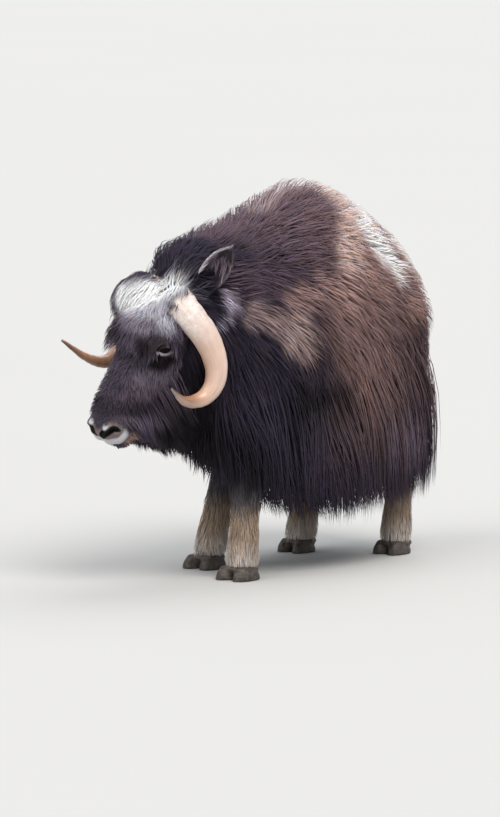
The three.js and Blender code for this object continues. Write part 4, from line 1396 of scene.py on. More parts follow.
        starts = np.concatenate([[0], np.cumsum(sizes)[:-1]]).astype(np.int32)
        mesh = bpy.data.meshes.new(name)
        mesh.vertices.add(count * per)
        write(mesh.vertices, "co", verts)
        mesh.loops.add(len(loops))
        mesh.loops.foreach_set("vertex_index", loops)
        mesh.polygons.add(len(sizes))
        mesh.polygons.foreach_set("loop_start", starts)
        mesh.update(calc_edges=True)
        mesh.polygons.foreach_set("use_smooth", np.ones(len(sizes), bool))
        mesh.normals_split_custom_set_from_vertices(unit(facing.reshape(-1, 3)))
        rows = np.concatenate([np.repeat(colour[:, :rings], 3, axis=1), colour[:, -1:]], 1)
        paint(mesh, rows.reshape(-1, 3))
        across = np.append(np.tile([0.0, 0.5, 1.0], rings), 0.5)
        level = np.append(np.repeat(t[:rings], 3), 1.0)
        strand = (np.tile(across, count), np.tile(level, count), np.repeat(np.arange(count), per))
        store(mesh, "strand", np.stack(strand, 1))
        patch = np.stack([across - 0.5, level - 0.5], 1) * TUFT_PATCH
        spots = (roots.chart[:, None, :] + patch).reshape(-1, 2)
        write(mesh.uv_layers.new(name="OFBake").data, "uv", spots[loops])
        made = bpy.data.objects.new(name, mesh)
        bpy.context.scene.collection.objects.link(made)
        return made

    def lay(self, hair: Hair, roots: Roots, length: Array, seed: int, draw: np.random.Generator) -> Array:
        """The path of each hair, waved, drawn into locks and kept above the floor.

        Args:
            hair: The kind of hair.
            roots: Where it grows.
            length: How long each hair is.
            seed: For the unevenness of the waves.
            draw: Repeatable random numbers.

        Returns:
            Paths as (hair, step, xyz).
        """
        count = len(length)
        paths = self.grow(hair, roots, length, draw.random(count) ** 0.7)
        t = np.linspace(0, 1, paths.shape[1])[None, :, None]
        side = np.cross(unit(np.gradient(paths, axis=1)), roots.out[:, None, :])
        phase = Ripple(0.05, seed).at(roots.at)[:, None, None] * 4 + draw.uniform(0, 1.2, (count, 1, 1))
        bend = hair.wave * draw.uniform(0.3, 1.2, (count, 1, 1))
        paths = self.gather(hair, roots, paths + side * bend * t * np.sin(t * 5.5 + phase), draw)
        paths[:, :, 2] = np.maximum(paths[:, :, 2], FLOOR_GAP)
        return paths

    def clear(self, hair: Hair, paths: Array) -> Array:
        """The rows of the hairs that hide no eye and no ear's hollow, and don't stray off the body."""
        hides = np.zeros(len(paths), bool)
        for places in paths[:, 1:].transpose(1, 0, 2):
            if hair.part == Part.TRUNK:
                hides |= (body_distance(places) > STRAY_REACH) & (places[:, 2] > STRAY_LEVEL)
            elif hair.part in (Part.HEAD, Part.BOSS, Part.NECK):
                hides |= hides_eye(to_head(places)) | hides_ear(to_head(places))
        return np.flatnonzero(~hides)

    def colours(self, hair: Hair, roots: Roots, paths: Array, seed: int, draw: np.random.Generator) -> Array:
        """The colours along each hair, a little uneven from hair to hair.

        Args:
            hair: The kind of hair.
            roots: Where it grows.
            paths: The hairs' paths.
            seed: For the unevenness over the body.
            draw: Repeatable random numbers.

        Returns:
            Colours as (hair, step, rgb).
        """
        count, steps = paths.shape[:2]
        colour = self.markings.at(roots.at, roots.part)
        shade = draw.uniform(*hair.shade, count) * (1 + 0.18 * Ripple(0.06, seed + 1).at(roots.at))
        shade = 1 + (shade - 1) * (1 - 0.65 * np.clip(colour.mean(1), 0, 1))
        rows = np.stack([self.markings.at(paths[:, k], roots.part) for k in range(steps)], 1)
        rows = blend(colour[:, None, :], rows, PLACE_SHARE) * np.linspace(1.0, 1.2, steps)[None, :, None]
        tint = 1 + draw.normal(size=(count, 1, 1)) * HAIR_TINT
        return np.clip(rows * shade[:, None, None] * tint, 0.003, 0.95)

    def clothe(self, hair: Hair, seed: int, finish: bpy.types.Material) -> None:
        """Grows one kind of hair over its part of the skin, in pieces below the limit of triangles.

        Args:
            hair: The kind of hair.
            seed: For its random numbers.
            finish: The material of the hair.
        """
        draw = np.random.default_rng(seed)
        roots = self.sow(hair, draw)
        length = draw.uniform(*hair.length, hair.count)
        if hair.reach is not None:
            length = hair.reach(roots.at) * draw.uniform(0.80, 1.04, hair.count)
        paths = self.lay(hair, roots, length, seed, draw)
        clear = self.clear(hair, paths)
        roots, paths = roots.pick(clear), paths[clear]
        width = hair.width / 2 * draw.uniform(0.7, 1.3, len(clear))
        colour = self.colours(hair, roots, paths, seed, draw)
        most = PIECE_TRIANGLES // (hair.steps * 6 - 2)
        order = np.argsort(roots.at[:, 1])
        for k in range(0, len(order), most):
            pick = order[k : k + most]
            name = f"{hair.name}_{k // most + 1}"
            made = self.mesh(name, hair, paths[pick], roots.pick(pick), width[pick], colour[pick])
            made.data.materials.append(finish)
            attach(made, "root")
        LOG.info("%s: %d hairs", hair.name, len(clear))


def part_of(p: Array) -> Array:
    """Which part of the animal each point of the skin belongs to.

    Args:
        p: Points on the skin.

    Returns:
        The index of each one's Part.
    """
    body, head = p - BODY_AT, to_head(p)
    made = np.full(len(p), index_of(Part.TRUNK))
    trunk, neck, skull = TRUNK.distance(body), NECK.distance(body), skull_distance(head)
    made[neck < trunk] = index_of(Part.NECK)
    made[(skull < 0.012) & (skull <= np.minimum(neck, trunk) + 0.02)] = index_of(Part.HEAD)
    made[(skull < 0.06) & (head[:, 1] < -0.10) & (neck > 0.01)] = index_of(Part.HEAD)
    for root, tip, *_ in EARS.values():
        t, gap = beside(head, root, tip)
        made[(np.linalg.norm(gap, axis=1) < 0.048) & (t > 0.12) & (skull > 0.004)] = index_of(Part.EAR)
    outside = np.minimum(np.minimum(trunk, neck), skull) > 0.002
    made[(body[:, 2] < 0.50) & outside & (trunk > 0.0) & (skull > 0.06)] = index_of(Part.LEG)
    made[(body[:, 1] > 0.98) & (np.abs(body[:, 0] + 0.08) < 0.04) & (body[:, 2] > 0.66)] = index_of(Part.TAIL)
    return made


# WHERE EACH KIND OF HAIR GROWS AND HOW IT LIES


def turn_sideways(way: Array, p: Array, degrees: float, size: float, seed: int) -> Array:
    """Turns each direction a little about the vertical, by a smooth unevenness over space."""
    a = np.radians(degrees) * Ripple(size, seed).at(p)
    c, s = np.cos(a), np.sin(a)
    return np.stack([way[:, 0] * c - way[:, 1] * s, way[:, 0] * s + way[:, 1] * c, way[:, 2]], 1)


def falling(steep: Array) -> Array:
    """Ways back along the body that fall below the level by so many radians."""
    return np.stack([np.zeros(len(steep)), np.cos(steep), -np.sin(steep)], 1)


def trunk_way(p: Array, n: Array) -> Array:
    """On the trunk the hair runs back from the hump and falls more steeply the lower it grows."""
    body = p - BODY_AT
    steep = np.radians(22 + 58 * smooth_step(1.150 - body[:, 2], 0.0, 0.80))
    rear = smooth_step(body[:, 1] - 0.25 * (body[:, 2] - 0.7), 0.58, 0.92)
    steep = np.maximum(steep, np.radians(88) * rear)
    chest = 1 - smooth_step(body[:, 1], -0.12, 0.02)
    steep = steep + (math.pi / 2 - steep) * chest * 0.7
    steep = steep + np.radians(9) * Ripple(0.22, 60).at(p) * (1 - rear * 0.8)
    return turn_sideways(falling(steep), p, 14, 0.16, 61)


def neck_way(p: Array, n: Array) -> Array:
    """On the neck the hair runs back and down; under the throat it hangs."""
    steep = np.radians(14 + 66 * smooth_step(1.040 - (p - BODY_AT)[:, 2], 0.0, 0.42))
    steep = steep + np.radians(9) * Ripple(0.15, 62).at(p)
    return turn_sideways(falling(steep), p, 14, 0.12, 63)


def brow_way(p: Array, n: Array) -> Array:
    """From the crown the hair fans out over the horns and brow and down the face; behind it runs back."""
    head = to_head(p)
    fan = np.stack([head[:, 0] * 7.5, smooth_step(head[:, 1], 0.060, 0.100) * 2 - 1, np.zeros(len(p))], 1)
    fan[:, 0] = np.maximum(fan[:, 0], -0.65) + 0.35 * Ripple(0.07, 64).at(p)
    fall = -0.25 - 0.7 * smooth_step(-head[:, 0], 0.06, 0.14)
    return unit(from_head(unit(fan)) + np.stack([np.zeros(len(p)), np.zeros(len(p)), fall], 1))


def face_way(p: Array, n: Array) -> Array:
    """On the face the short hair runs down towards the muzzle and out to the cheeks."""
    head = to_head(p)
    side = np.sign(head[:, 0]) * smooth_step(np.abs(head[:, 0]), 0.0, 0.06)
    low = smooth_step(-head[:, 2], 0.02, 0.16)
    way = np.stack([side * 0.5, -0.7 + low * 0.9, -0.2 - low * 0.5], 1)
    way[:, 0] += 0.2 * Ripple(0.04, 65).at(p)
    return unit(from_head(way) + np.array([0, 0, -0.35]))


def beard_way(p: Array, n: Array) -> Array:
    """Under the jaw and on the cheeks the hair hangs, and a little back."""
    head = to_head(p)
    way = np.stack([np.sign(head[:, 0]) * 0.22, np.full(len(p), 0.4), np.zeros(len(p))], 1)
    way[:, 0] += 0.2 * Ripple(0.06, 66).at(p)
    return unit(from_head(way) + np.array([0, 0, -1.0]))


def beard_reach(p: Array) -> Array:
    """The beard is short at the lips and longest under the throat."""
    return 0.010 + 0.175 * smooth_step(to_head(p)[:, 1], -0.42, -0.27)


def face_reach(p: Array) -> Array:
    """The hair of the face is shortest round the nose and the eyes."""
    head = to_head(p)
    back = 0.011 + 0.026 * smooth_step(head[:, 1], -0.44, -0.24)
    return back * (0.30 + 0.70 * smooth_step(eye_distance(head), 0.012, 0.050))


def in_eye(head: Array) -> Array:
    """Points of the head's frame in the frame of the nearer eye."""
    return (mirrored(head) - EYE_AT) @ EYE_TURN


def eye_distance(head: Array) -> Array:
    """How far each point of the head's frame lies from the nearer eye's slit, less counted along it."""
    return np.linalg.norm((in_eye(head) - [0, -0.002, EYE_RADIUS]) * [0.62, 1.0, 0.8], axis=1)


def along_slit(x: Array) -> Array:
    """Places along an eye's slit, drawn in so that the oval of bare skin round the eye is a circle."""
    return x * np.where(x < 0, 0.40, 0.62)


def hides_eye(head: Array) -> Array:
    """Whether each point of the head's frame lies in front of an eye, in a widening cone."""
    x, y, z = in_eye(head).T
    cone = 0.0125 + 0.30 * np.clip(z - EYE_RADIUS, 0, 0.08)
    return (np.hypot(along_slit(x), y + 0.001) < cone) & (z > 0.008)


def in_ear(head: Array, label: str) -> Array:
    """Points of the head's frame in the frame of an ear.

    Args:
        head: The points.
        label: left or right.

    Returns:
        Their shares of the ear's length, how far they lie ahead of its middle line, and their places across
        it as a share of its half width.
    """
    root, tip, faces = (np.array(v) for v in EARS[label][:3])
    along = unit(tip - root)
    front = unit(faces - along * (faces @ along))
    rest = head - root
    t, across = rest @ along / np.linalg.norm(tip - root), rest @ np.cross(front, along)
    return np.stack([t, rest @ front, across / EAR_HALF_WIDTH / EARS[label][3]])


def hides_ear(head: Array) -> Array:
    """Whether each point of the head's frame lies in the hollow of an ear or in front of it."""
    made = np.zeros(len(head), bool)
    for label in EARS:
        t, ahead, across = in_ear(head, label)
        made |= (t > 0.12) & (t < 1.05) & (ahead > -0.012) & (ahead < 0.07) & (np.abs(across) < 1.02)
    return made


def ear_hollow(p: Array, n: Array) -> Array:
    """The hollow of the ears, up to their middle."""
    made = np.zeros(len(p))
    for label, (_, _, faces, _) in EARS.items():
        t, ahead, across = in_ear(to_head(p), label)
        inside = (np.abs(ahead) < 0.05) & (np.abs(across) < 0.9)
        front = smooth_step(n @ HEAD_TURN @ unit(np.array(faces)), 0.3, 0.7)
        along = smooth_step(t, 0.10, 0.20) * (1 - smooth_step(t, 0.50, 0.70))
        made = np.maximum(made, inside * front * along)
    return made


def leg_way(p: Array, n: Array) -> Array:
    """On the legs the hair runs down."""
    way = np.tile([0.0, 0.0, -1.0], (len(p), 1))
    way[:, 0] += 0.16 * Ripple(0.05, 67).at(p)
    way[:, 1] += 0.16 * Ripple(0.05, 68).at(p)
    return unit(way)


def ear_way(p: Array, n: Array) -> Array:
    """On the ears the hair runs out to the tips."""
    head = to_head(p)
    made = np.empty_like(p)
    for side, label in ((LEFT, "left"), (RIGHT, "right")):
        root, tip = (np.array(v) for v in EARS[label][:2])
        made[head[:, 0] * side > 0] = from_head(unit(tip - root))
    return unit(made + 0.15 * n)


def leg_reach(p: Array) -> Array:
    """The hair of the legs is short where it meets the hooves."""
    return np.clip((p - BODY_AT)[:, 2] - 0.026, 0.014, 0.052)


def everywhere(p: Array, n: Array) -> Array:
    """Even over the part."""
    return np.ones(len(p))


HEM_Y = np.array([-0.150, -0.060, 0.0, 0.100, 0.220, 0.400, 0.600, 0.800, 0.950, 1.040])
HEM_LEFT = np.array([0.322, 0.262, 0.222, 0.180, 0.155, 0.148, 0.165, 0.190, 0.262, 0.290])
HEM_RIGHT = np.array([0.405, 0.392, 0.378, 0.340, 0.288, 0.225, 0.180, 0.190, 0.262, 0.290])


def hem(body: Array) -> Array:
    """The height of the skirt's hem, which rises to the chest and, more, on the right of the chest."""
    left, right = np.interp(body[:, 1], HEM_Y, HEM_LEFT), np.interp(body[:, 1], HEM_Y, HEM_RIGHT)
    return blend(right, left, smooth_step(body[:, 0], -0.15, 0.15))


def skirt_reach(p: Array) -> Array:
    """How long hair must be to hang down to the hem."""
    body = p - BODY_AT
    return np.clip((body[:, 2] - hem(body)) * 1.10, 0.07, 0.58)


def mantle_reach(p: Array) -> Array:
    """The hair of the back is short on the hump and longer down the flank."""
    body = p - BODY_AT
    return 0.085 + 0.085 * smooth_step(1.12 - body[:, 2], 0.0, 0.45)


def high_flank(p: Array, n: Array) -> Array:
    """The upper body, thinning out low on the flank."""
    return smooth_step((p - BODY_AT)[:, 2], 0.50, 0.66)


def low_flank(p: Array, n: Array) -> Array:
    """The lower flank, from which the skirt hangs."""
    z = (p - BODY_AT)[:, 2]
    return (1 - smooth_step(z, 0.66, 0.80)) * smooth_step(z, 0.34, 0.44)


def brow(p: Array, n: Array) -> Array:
    """The crown and brow, between the horns and down to the eyes."""
    head = to_head(p)
    made = smooth_step(head[:, 2], 0.0, 0.03) * smooth_step(head[:, 1], -0.20, -0.12)
    made = made * smooth_step(eye_distance(head), 0.020, 0.036)
    return made * smooth_step(ear_distance(head), 0.025, 0.040)


def nape(p: Array, n: Array) -> Array:
    """The neck, bare where the ears stand on it."""
    return smooth_step(ear_distance(to_head(p)), 0.022, 0.040)


def crest(p: Array, n: Array) -> Array:
    """The upper edge of the neck."""
    return nape(p, n) * smooth_step(n[:, 2], 0.25, 0.70)


def ridge(p: Array, n: Array) -> Array:
    """The upper edge of the back, and the upper rump."""
    body = p - BODY_AT
    back = smooth_step(n[:, 2], 0.45, 0.85) * smooth_step(body[:, 2], 0.86, 0.98)
    return np.maximum(back, smooth_step(body[:, 1], 0.62, 0.80) * smooth_step(body[:, 2], 0.74, 0.84))


def rump_fullness(p: Array) -> Array:
    """How much further the coat stands off the upper rump, and how much less the lower."""
    body = p - BODY_AT
    high = smooth_step(body[:, 1], 0.52, 0.78) * smooth_step(body[:, 2], 0.66, 0.90)
    low = smooth_step(body[:, 1], 0.45, 0.75) * (1 - smooth_step(body[:, 2], 0.52, 0.80))
    return 0.026 * high - 0.020 * low


def brow_fullness(p: Array) -> Array:
    """How much further the forelock stands off the brow, over its far side."""
    head = to_head(p)
    return 0.020 * smooth_step(-head[:, 0], 0.0, 0.05) * smooth_step(-head[:, 1], 0.06, 0.12)


def nostril_distance(head: Array) -> Array:
    """How far each point of the head's frame lies from the middle line of the nearer nostril."""
    p = mirrored(head)
    return np.min([np.linalg.norm(p - at, axis=1) for at in curve_points(NOSTRIL, 14)[:, :3]], axis=0)


def nostril_share(head: Array) -> Array:
    """1 on the walls inside the nostrils, 0 outside."""
    p = mirrored(head) - [0.0, NOSTRIL_INWARD, 0.0]
    line = curve_points(NOSTRIL, 24)
    near = np.full(len(p), np.inf)
    side = np.array([0.0, 0.4, 1.0])
    for at, way in zip(line, unit(np.gradient(line[:, :3], axis=0))):
        side = unit(side - way * (side @ way))
        gap = p - at[:3]
        size = at[3:] * NOSTRIL_OPENING
        reach = np.hypot(gap @ side / size[0], gap @ np.cross(way, side) / size[1])
        near = np.minimum(near, np.hypot(reach, gap @ way / 0.006))
    return 1 - smooth_step(near, 1.02, 1.22)


def lip_share(head: Array) -> Array:
    """1 on the pale upper lip below the nostrils, 0 elsewhere."""
    front = smooth_step(-head[:, 1] + 0.25 * (np.abs(head[:, 0]) - 0.03), 0.398, 0.425)
    low = -head[:, 2] + 0.010 * Ripple(0.05, 71).at(head)
    return front * smooth_step(low, 0.086, 0.100) * (1 - smooth_step(low, 0.138, 0.148))


def outside_mouth(head: Array) -> Array:
    """0 on the walls of the mouth and nostrils, which bear no hair, 1 elsewhere."""
    return smooth_step(skull_distance(head), -0.0135, -0.0105)


def bare_nose(head: Array) -> Array:
    """1 on the bare skin of the nose and upper lip, 0 elsewhere."""
    return np.maximum(1 - smooth_step(nostril_distance(head), 0.020, 0.034), lip_share(head))


def short_face(p: Array, n: Array) -> Array:
    """The face, without the bare nose and the eyes."""
    head = to_head(p)
    made = (1.0 - bare_nose(head)) * smooth_step(eye_distance(head), 0.0125, 0.016)
    return made * outside_mouth(head) * smooth_step(-head[:, 1], -0.04, 0.0)


def cheek(p: Array, n: Array) -> Array:
    """The cheeks and the throat side of the jaw."""
    head = to_head(p)
    made = smooth_step(-head[:, 2], 0.06, 0.13) * smooth_step(head[:, 1], -0.415, -0.37)
    return made * (1.0 - bare_nose(head)) * outside_mouth(head)


COATS = (
    Hair("wool", Part.TRUNK, 4500, (0.05, 0.09), 0.018, (-0.030, -0.008), everywhere, trunk_way, steps=2,
         flat=0.35),
    Hair("mantle", Part.TRUNK, 19800, (0.07, 0.15), 0.0037, (-0.026, 0.014), high_flank, trunk_way, steps=4,
         hug=0.85, stand=0.45, gather=0.5, per_lock=12, reach=mantle_reach, fuller=rump_fullness),
    Hair("ridge", Part.TRUNK, 2400, (0.08, 0.14), 0.0034, (0.005, 0.038), ridge, trunk_way, steps=4,
         hug=0.7, stand=0.7, gather=0.5, per_lock=12, fuller=rump_fullness),
    Hair("skirt", Part.TRUNK, 7700, (0.2, 0.3), 0.0046, (-0.014, 0.020), low_flank, trunk_way, steps=5,
         hug=0.1, stand=0.12, wave=0.014, gather=0.6, reach=skirt_reach, fuller=rump_fullness),
    Hair("neck_hair", Part.NECK, 6300, (0.09, 0.17), 0.0038, (-0.012, 0.024), nape, neck_way, steps=4,
         hug=0.7, gather=0.5, per_lock=12),
    Hair("mane", Part.NECK, 1700, (0.10, 0.17), 0.0034, (0.015, 0.058), crest, neck_way, steps=5, hug=0.5,
         stand=0.9, gather=0.5, per_lock=12, wave=0.008),
    Hair("crown", Part.BOSS, 2800, (0.06, 0.12), 0.0026, (0.002, 0.018), everywhere, brow_way, steps=4,
         hug=0.7, stand=0.5, wave=0.006, gather=0.4, stray=0.18, shade=(0.8, 1.2)),
    Hair("forelock", Part.HEAD, 5200, (0.05, 0.10), 0.0026, (0.004, 0.038), brow, brow_way, steps=4,
         hug=0.6, stand=0.6, wave=0.006, gather=0.4, stray=0.18, shade=(0.55, 1.4), fuller=brow_fullness),
    Hair("face_hair", Part.HEAD, 11400, (0.016, 0.034), 0.0021, (-0.003, 0.008), short_face, face_way,
         steps=3, hug=0.9, stand=0.3, per_lock=6, wave=0.002, gather=0.5, reach=face_reach),
    Hair("beard", Part.HEAD, 2900, (0.07, 0.13), 0.0032, (0.0, 0.020), cheek, beard_way, steps=4, hug=0.2,
         wave=0.006, reach=beard_reach),
    Hair("stocking", Part.LEG, 9000, (0.032, 0.062), 0.0022, (0.0, 0.01), everywhere, leg_way, steps=3,
         stand=0.16, per_lock=7, wave=0.002, gather=0.35, stray=0.07, shade=(0.82, 1.12), soften=1.4,
         reach=leg_reach),
    Hair("ear_hair", Part.EAR, 2800, (0.008, 0.018), 0.0020, (0.0, 0.01), everywhere, ear_way, steps=3,
         stand=0.12, per_lock=5, wave=0.001, gather=0.3),
    Hair("ear_fringe", Part.EAR, 110, (0.022, 0.036), 0.0020, (0.0, 0.01), ear_hollow, ear_way, steps=4,
         stand=0.35, per_lock=8, wave=0.003, gather=0.6, shade=(2.5, 5.5)),
    Hair("tail_hair", Part.TAIL, 500, (0.08, 0.14), 0.0050, (0.0, 0.02), everywhere, leg_way, steps=4,
         stand=0.4),
)


# MATERIALS


class Socket:
    """A shader value that takes part in ordinary arithmetic by adding Math nodes."""

    def __init__(self, shade: "Shade", link: object) -> None:
        """Wraps an output socket or a plain number."""
        self.shade, self.link = shade, link

    def _math(self, operation: str, *others: object) -> "Socket":
        """One Math node over this value and others."""
        values = {i: v for i, v in enumerate((self, *others))}
        return self.shade.node("ShaderNodeMath", {"operation": operation}, values)

    def __add__(self, other: object) -> "Socket":
        """self + other."""
        return self._math("ADD", other)

    __radd__ = __add__

    def __mul__(self, other: object) -> "Socket":
        """self * other."""
        return self._math("MULTIPLY", other)

    def __sub__(self, other: object) -> "Socket":
        """self - other."""
        return self._math("SUBTRACT", other)

    def __rsub__(self, other: object) -> "Socket":
        """other - self."""
        return Socket(self.shade, other)._math("SUBTRACT", self)

    def __pow__(self, other: object) -> "Socket":
        """self to the power of other."""
        return self._math("POWER", other)

    def rise(self, low: float, high: float) -> "Socket":
        """A smooth rise from 0 at low to 1 at high."""
        inputs = {"Value": self, "From Min": low, "From Max": high, "To Min": 0.0, "To Max": 1.0}
        return self.shade.node("ShaderNodeMapRange", {"interpolation_type": "SMOOTHSTEP"}, inputs)


class Shade:
    """A material under construction."""

    def __init__(self, name: str, **plain: object) -> None:
        """Starts a material.

        Args:
            name: The material's name.
            plain: Values of the shader's own sockets, with underscores for spaces.
        """
        self.material = bpy.data.materials.new(name)
        self.material.use_nodes = True
        self.tree = self.material.node_tree
        self.shader = self.tree.nodes["Principled BSDF"]
        for key, value in plain.items():
            self.shader.inputs[key.replace("_", " ")].default_value = value

    def node(
        self, kind: str, settings: dict[str, object], inputs: dict[object, object], output: object = 0
    ) -> Socket:
        """Adds any node.

        Args:
            kind: The node's type.
            settings: Its properties, set first.
            inputs: Values or links of its sockets, by name or number.
            output: Which output to return.

        Returns:
            The output as a socket.
        """
        made = self.tree.nodes.new(kind)
        for key, value in settings.items():
            if key == "stops":
                ramp = made.color_ramp
                while len(ramp.elements) < len(value):
                    ramp.elements.new(0.5)
                for element, (place, colour) in zip(ramp.elements, value):
                    element.position, element.color = place, (*colour, 1.0)
            else:
                setattr(made, key, value)
        for key, value in inputs.items():
            link = value.link if isinstance(value, Socket) else value
            if isinstance(link, bpy.types.NodeSocket):
                self.tree.links.new(link, made.inputs[key])
            else:
                made.inputs[key].default_value = link
        return Socket(self, made.outputs[output])

    def place(self) -> Socket:
        """Object coordinates."""
        return self.node("ShaderNodeTexCoord", {}, {}, "Object")

    def noise(
        self, scale: float, detail: float = 3.0, stretch: Triple = (1, 1, 1), over: Socket | None = None
    ) -> Socket:
        """Noise from 0 to 1 over the object, or over a vector that is kept on the mesh."""
        at = self.node("ShaderNodeMapping", {}, {"Vector": over or self.place(), "Scale": stretch})
        return self.node("ShaderNodeTexNoise", {}, {"Vector": at, "Scale": scale, "Detail": detail}, "Fac")

    def attribute(self, name: str, output: str = "Color") -> Socket:
        """A value kept on the mesh."""
        return self.node("ShaderNodeAttribute", {"attribute_name": name}, {}, output)

    def ramp(self, value: Socket, *stops: tuple[float, Colour]) -> Socket:
        """A colour that changes with a value."""
        return self.node("ShaderNodeValToRGB", {"stops": stops}, {"Fac": value}, "Color")

    def mix(self, share: object, one: object, other: object) -> Socket:
        """A mix of two colours."""
        one, other = ((*c, 1.0) if isinstance(c, tuple) else c for c in (one, other))
        return self.node("ShaderNodeMix", {"data_type": "RGBA"}, {0: share, 6: one, 7: other}, 2)

    def finish(
        self,
        colour: Socket,
        roughness: Socket | None = None,
        height: Socket | None = None,
        bump: float = 0.3,
        reach: float = 0.002,
    ) -> bpy.types.Material:
        """Links colour, roughness and relief to the shader.

        Args:
            colour: The base colour.
            roughness: The roughness, if it varies.
            height: The relief.
            bump: Its strength.
            reach: Its height in metres.

        Returns:
            The material.
        """
        self.tree.links.new(colour.link, self.shader.inputs["Base Color"])
        if roughness is not None:
            self.tree.links.new(roughness.link, self.shader.inputs["Roughness"])
        if height is not None:
            relief = self.node("ShaderNodeBump", {}, {"Strength": bump, "Distance": reach, "Height": height})
            self.tree.links.new(relief.link, self.shader.inputs["Normal"])
        return self.material


@dataclass(frozen=True)
class HairFinish:
    """Long guard hair: its colour is kept on each tuft, with the tuft's fine hairs as streaks along it."""

    roughness: float = 0.62

    def make(self) -> bpy.types.Material:
        """Makes the material."""
        shade = Shade("guard_hair", Specular_IOR_Level=0.16)
        strand = shade.attribute("strand", "Vector")
        streak = shade.noise(1.0, 2.0, (7.0, 0.8, 3.7), strand).rise(0.32, 0.68)
        colour = shade.mix(streak * 0.30, shade.attribute("coat"), (0.006, 0.004, 0.005))
        return shade.finish(colour, streak * 0.15 + self.roughness, streak, 0.3, 0.0008)


@dataclass(frozen=True)
class SkinFinish:
    """Hide under the hair, and the bare skin of nose and lips with its pores."""

    def make(self) -> bpy.types.Material:
        """Makes the material."""
        shade = Shade("hide", Specular_IOR_Level=0.3)
        pores = shade.noise(700.0, 3.0)
        folds = shade.noise(90.0, 3.0)
        bare = shade.attribute("bare", "Fac")
        colour = shade.mix(pores.rise(0.35, 0.65) * 0.3, shade.attribute("coat"), (0.010, 0.008, 0.009))
        roughness = 0.72 - bare * 0.20 + folds * 0.1
        return shade.finish(colour, roughness, pores * 0.5 + folds, 0.35, 0.0015)


@dataclass(frozen=True)
class HornFinish:
    """Horn: speckled bone white at the base, warm in the middle and dark at the tip; along the hook a painted
    highlight on the outer side, and deeper amber on the inner side that is partly painted shade.
    """

    bone: Colour = (0.62, 0.53, 0.48)
    flake: Colour = (0.80, 0.76, 0.75)
    warm: Colour = (0.66, 0.47, 0.38)
    tan: Colour = (0.50, 0.31, 0.21)
    amber: Colour = (0.26, 0.135, 0.075)
    # inner: deeper amber, partly painted shade; outer: a painted highlight
    inner: Colour = (0.42, 0.22, 0.13)
    outer: Colour = (0.84, 0.68, 0.62)
    tip: Colour = (0.018, 0.012, 0.010)
    spot: Colour = (0.10, 0.06, 0.045)

    def make(self) -> bpy.types.Material:
        """Makes the material."""
        shade = Shade("horn", Coat_Weight=0.15, Coat_Roughness=0.25)
        along, grain = shade.attribute("along", "Fac"), shade.attribute("grain", "Vector")
        uneven = shade.noise(28.0, 4.0)
        streak = shade.noise(1.6, 5.0, (5.0, 5.0, 4.0), grain)
        place = along + (uneven - 0.5) * 0.08 + (streak - 0.5) * 0.10
        colour = shade.ramp(place, (0.0, self.bone), (0.26, self.bone), (0.42, self.warm), (0.64, self.warm),
                            (0.76, self.tan), (0.84, self.amber), (0.92, self.amber), (0.97, self.tip))
        colour = shade.mix(streak.rise(0.42, 0.72) * 0.45, colour, self.tan)
        round_ = shade.node("ShaderNodeSeparateXYZ", {}, {0: grain}, "X")
        hook = along.rise(0.32, 0.55)
        # deeper amber on the inner side of the hook, partly the horn's own colour and partly painted shade
        colour = shade.mix((round_ * -1).rise(0.0, 1.0) * hook * 0.50, colour, self.inner)
        # painted highlight: the outer side of the hook paler
        colour = shade.mix(round_.rise(0.2, 1.0) * hook * 0.35, colour, self.outer)
        rough = 1 - along.rise(0.20, 0.44)
        colour = shade.mix(shade.noise(70.0, 6.0).rise(0.46, 0.70) * rough * 0.5, colour, self.flake)
        spots = shade.noise(330.0, 1.0).rise(0.66, 0.73) * rough
        colour = shade.mix(spots * 0.8, colour, self.spot)
        roughness = 0.32 + rough * 0.28 + uneven * 0.12
        relief = streak + uneven * 0.6 + rough * shade.noise(120.0, 4.0)
        return shade.finish(colour, roughness, relief, 0.35, 0.0014)


@dataclass(frozen=True)
class EyeFinish:
    """A wet, dark brown eye with a level, oblong pupil."""

    iris: Colour = (0.012, 0.006, 0.0045)
    white: Colour = (0.060, 0.035, 0.030)

    def make(self) -> bpy.types.Material:
        """Makes the material."""
        shade = Shade("eye", Roughness=0.05, Specular_IOR_Level=0.045)
        gaze = shade.attribute("gaze", "Vector")
        x, y = (shade.node("ShaderNodeSeparateXYZ", {}, {0: gaze}, way) for way in "XY")
        round_ = (x * x + y * y) ** 0.5
        pupil = 1 - (x * x * 7 + y * y * 26).rise(0.75, 1.0)
        fibres = shade.noise(900.0, 2.0)
        iris = shade.mix(fibres, self.iris, (0.006, 0.0035, 0.003))
        colour = shade.mix(round_.rise(0.70, 0.82), iris, self.white)
        colour = shade.mix(pupil, colour, (0.002, 0.002, 0.002))
        return shade.finish(colour)


@dataclass(frozen=True)
class HoofFinish:
    """Dark, worn hoof horn with growth rings and patches of dust."""

    def make(self) -> bpy.types.Material:
        """Makes the material."""
        shade = Shade("hoof")
        rings = shade.noise(40.0, 2.0, (0.3, 0.3, 6.0))
        dust = shade.noise(70.0, 4.0)
        colour = shade.mix(dust.rise(0.4, 0.75) * 0.6, (0.030, 0.022, 0.018), (0.13, 0.10, 0.075))
        colour = shade.mix(rings.rise(0.4, 0.7) * 0.4, colour, (0.06, 0.045, 0.035))
        return shade.finish(colour, 0.45 + dust * 0.3, rings, 0.4, 0.002)


# STUDIO


def towards(azimuth: float, elevation: float) -> Vector:
    """The way to a place round the animal: degrees from its front to its left, and above the floor."""
    a, e = math.radians(azimuth), math.radians(elevation)
    return Vector((math.sin(a) * math.cos(e), -math.cos(a) * math.cos(e), math.sin(e)))


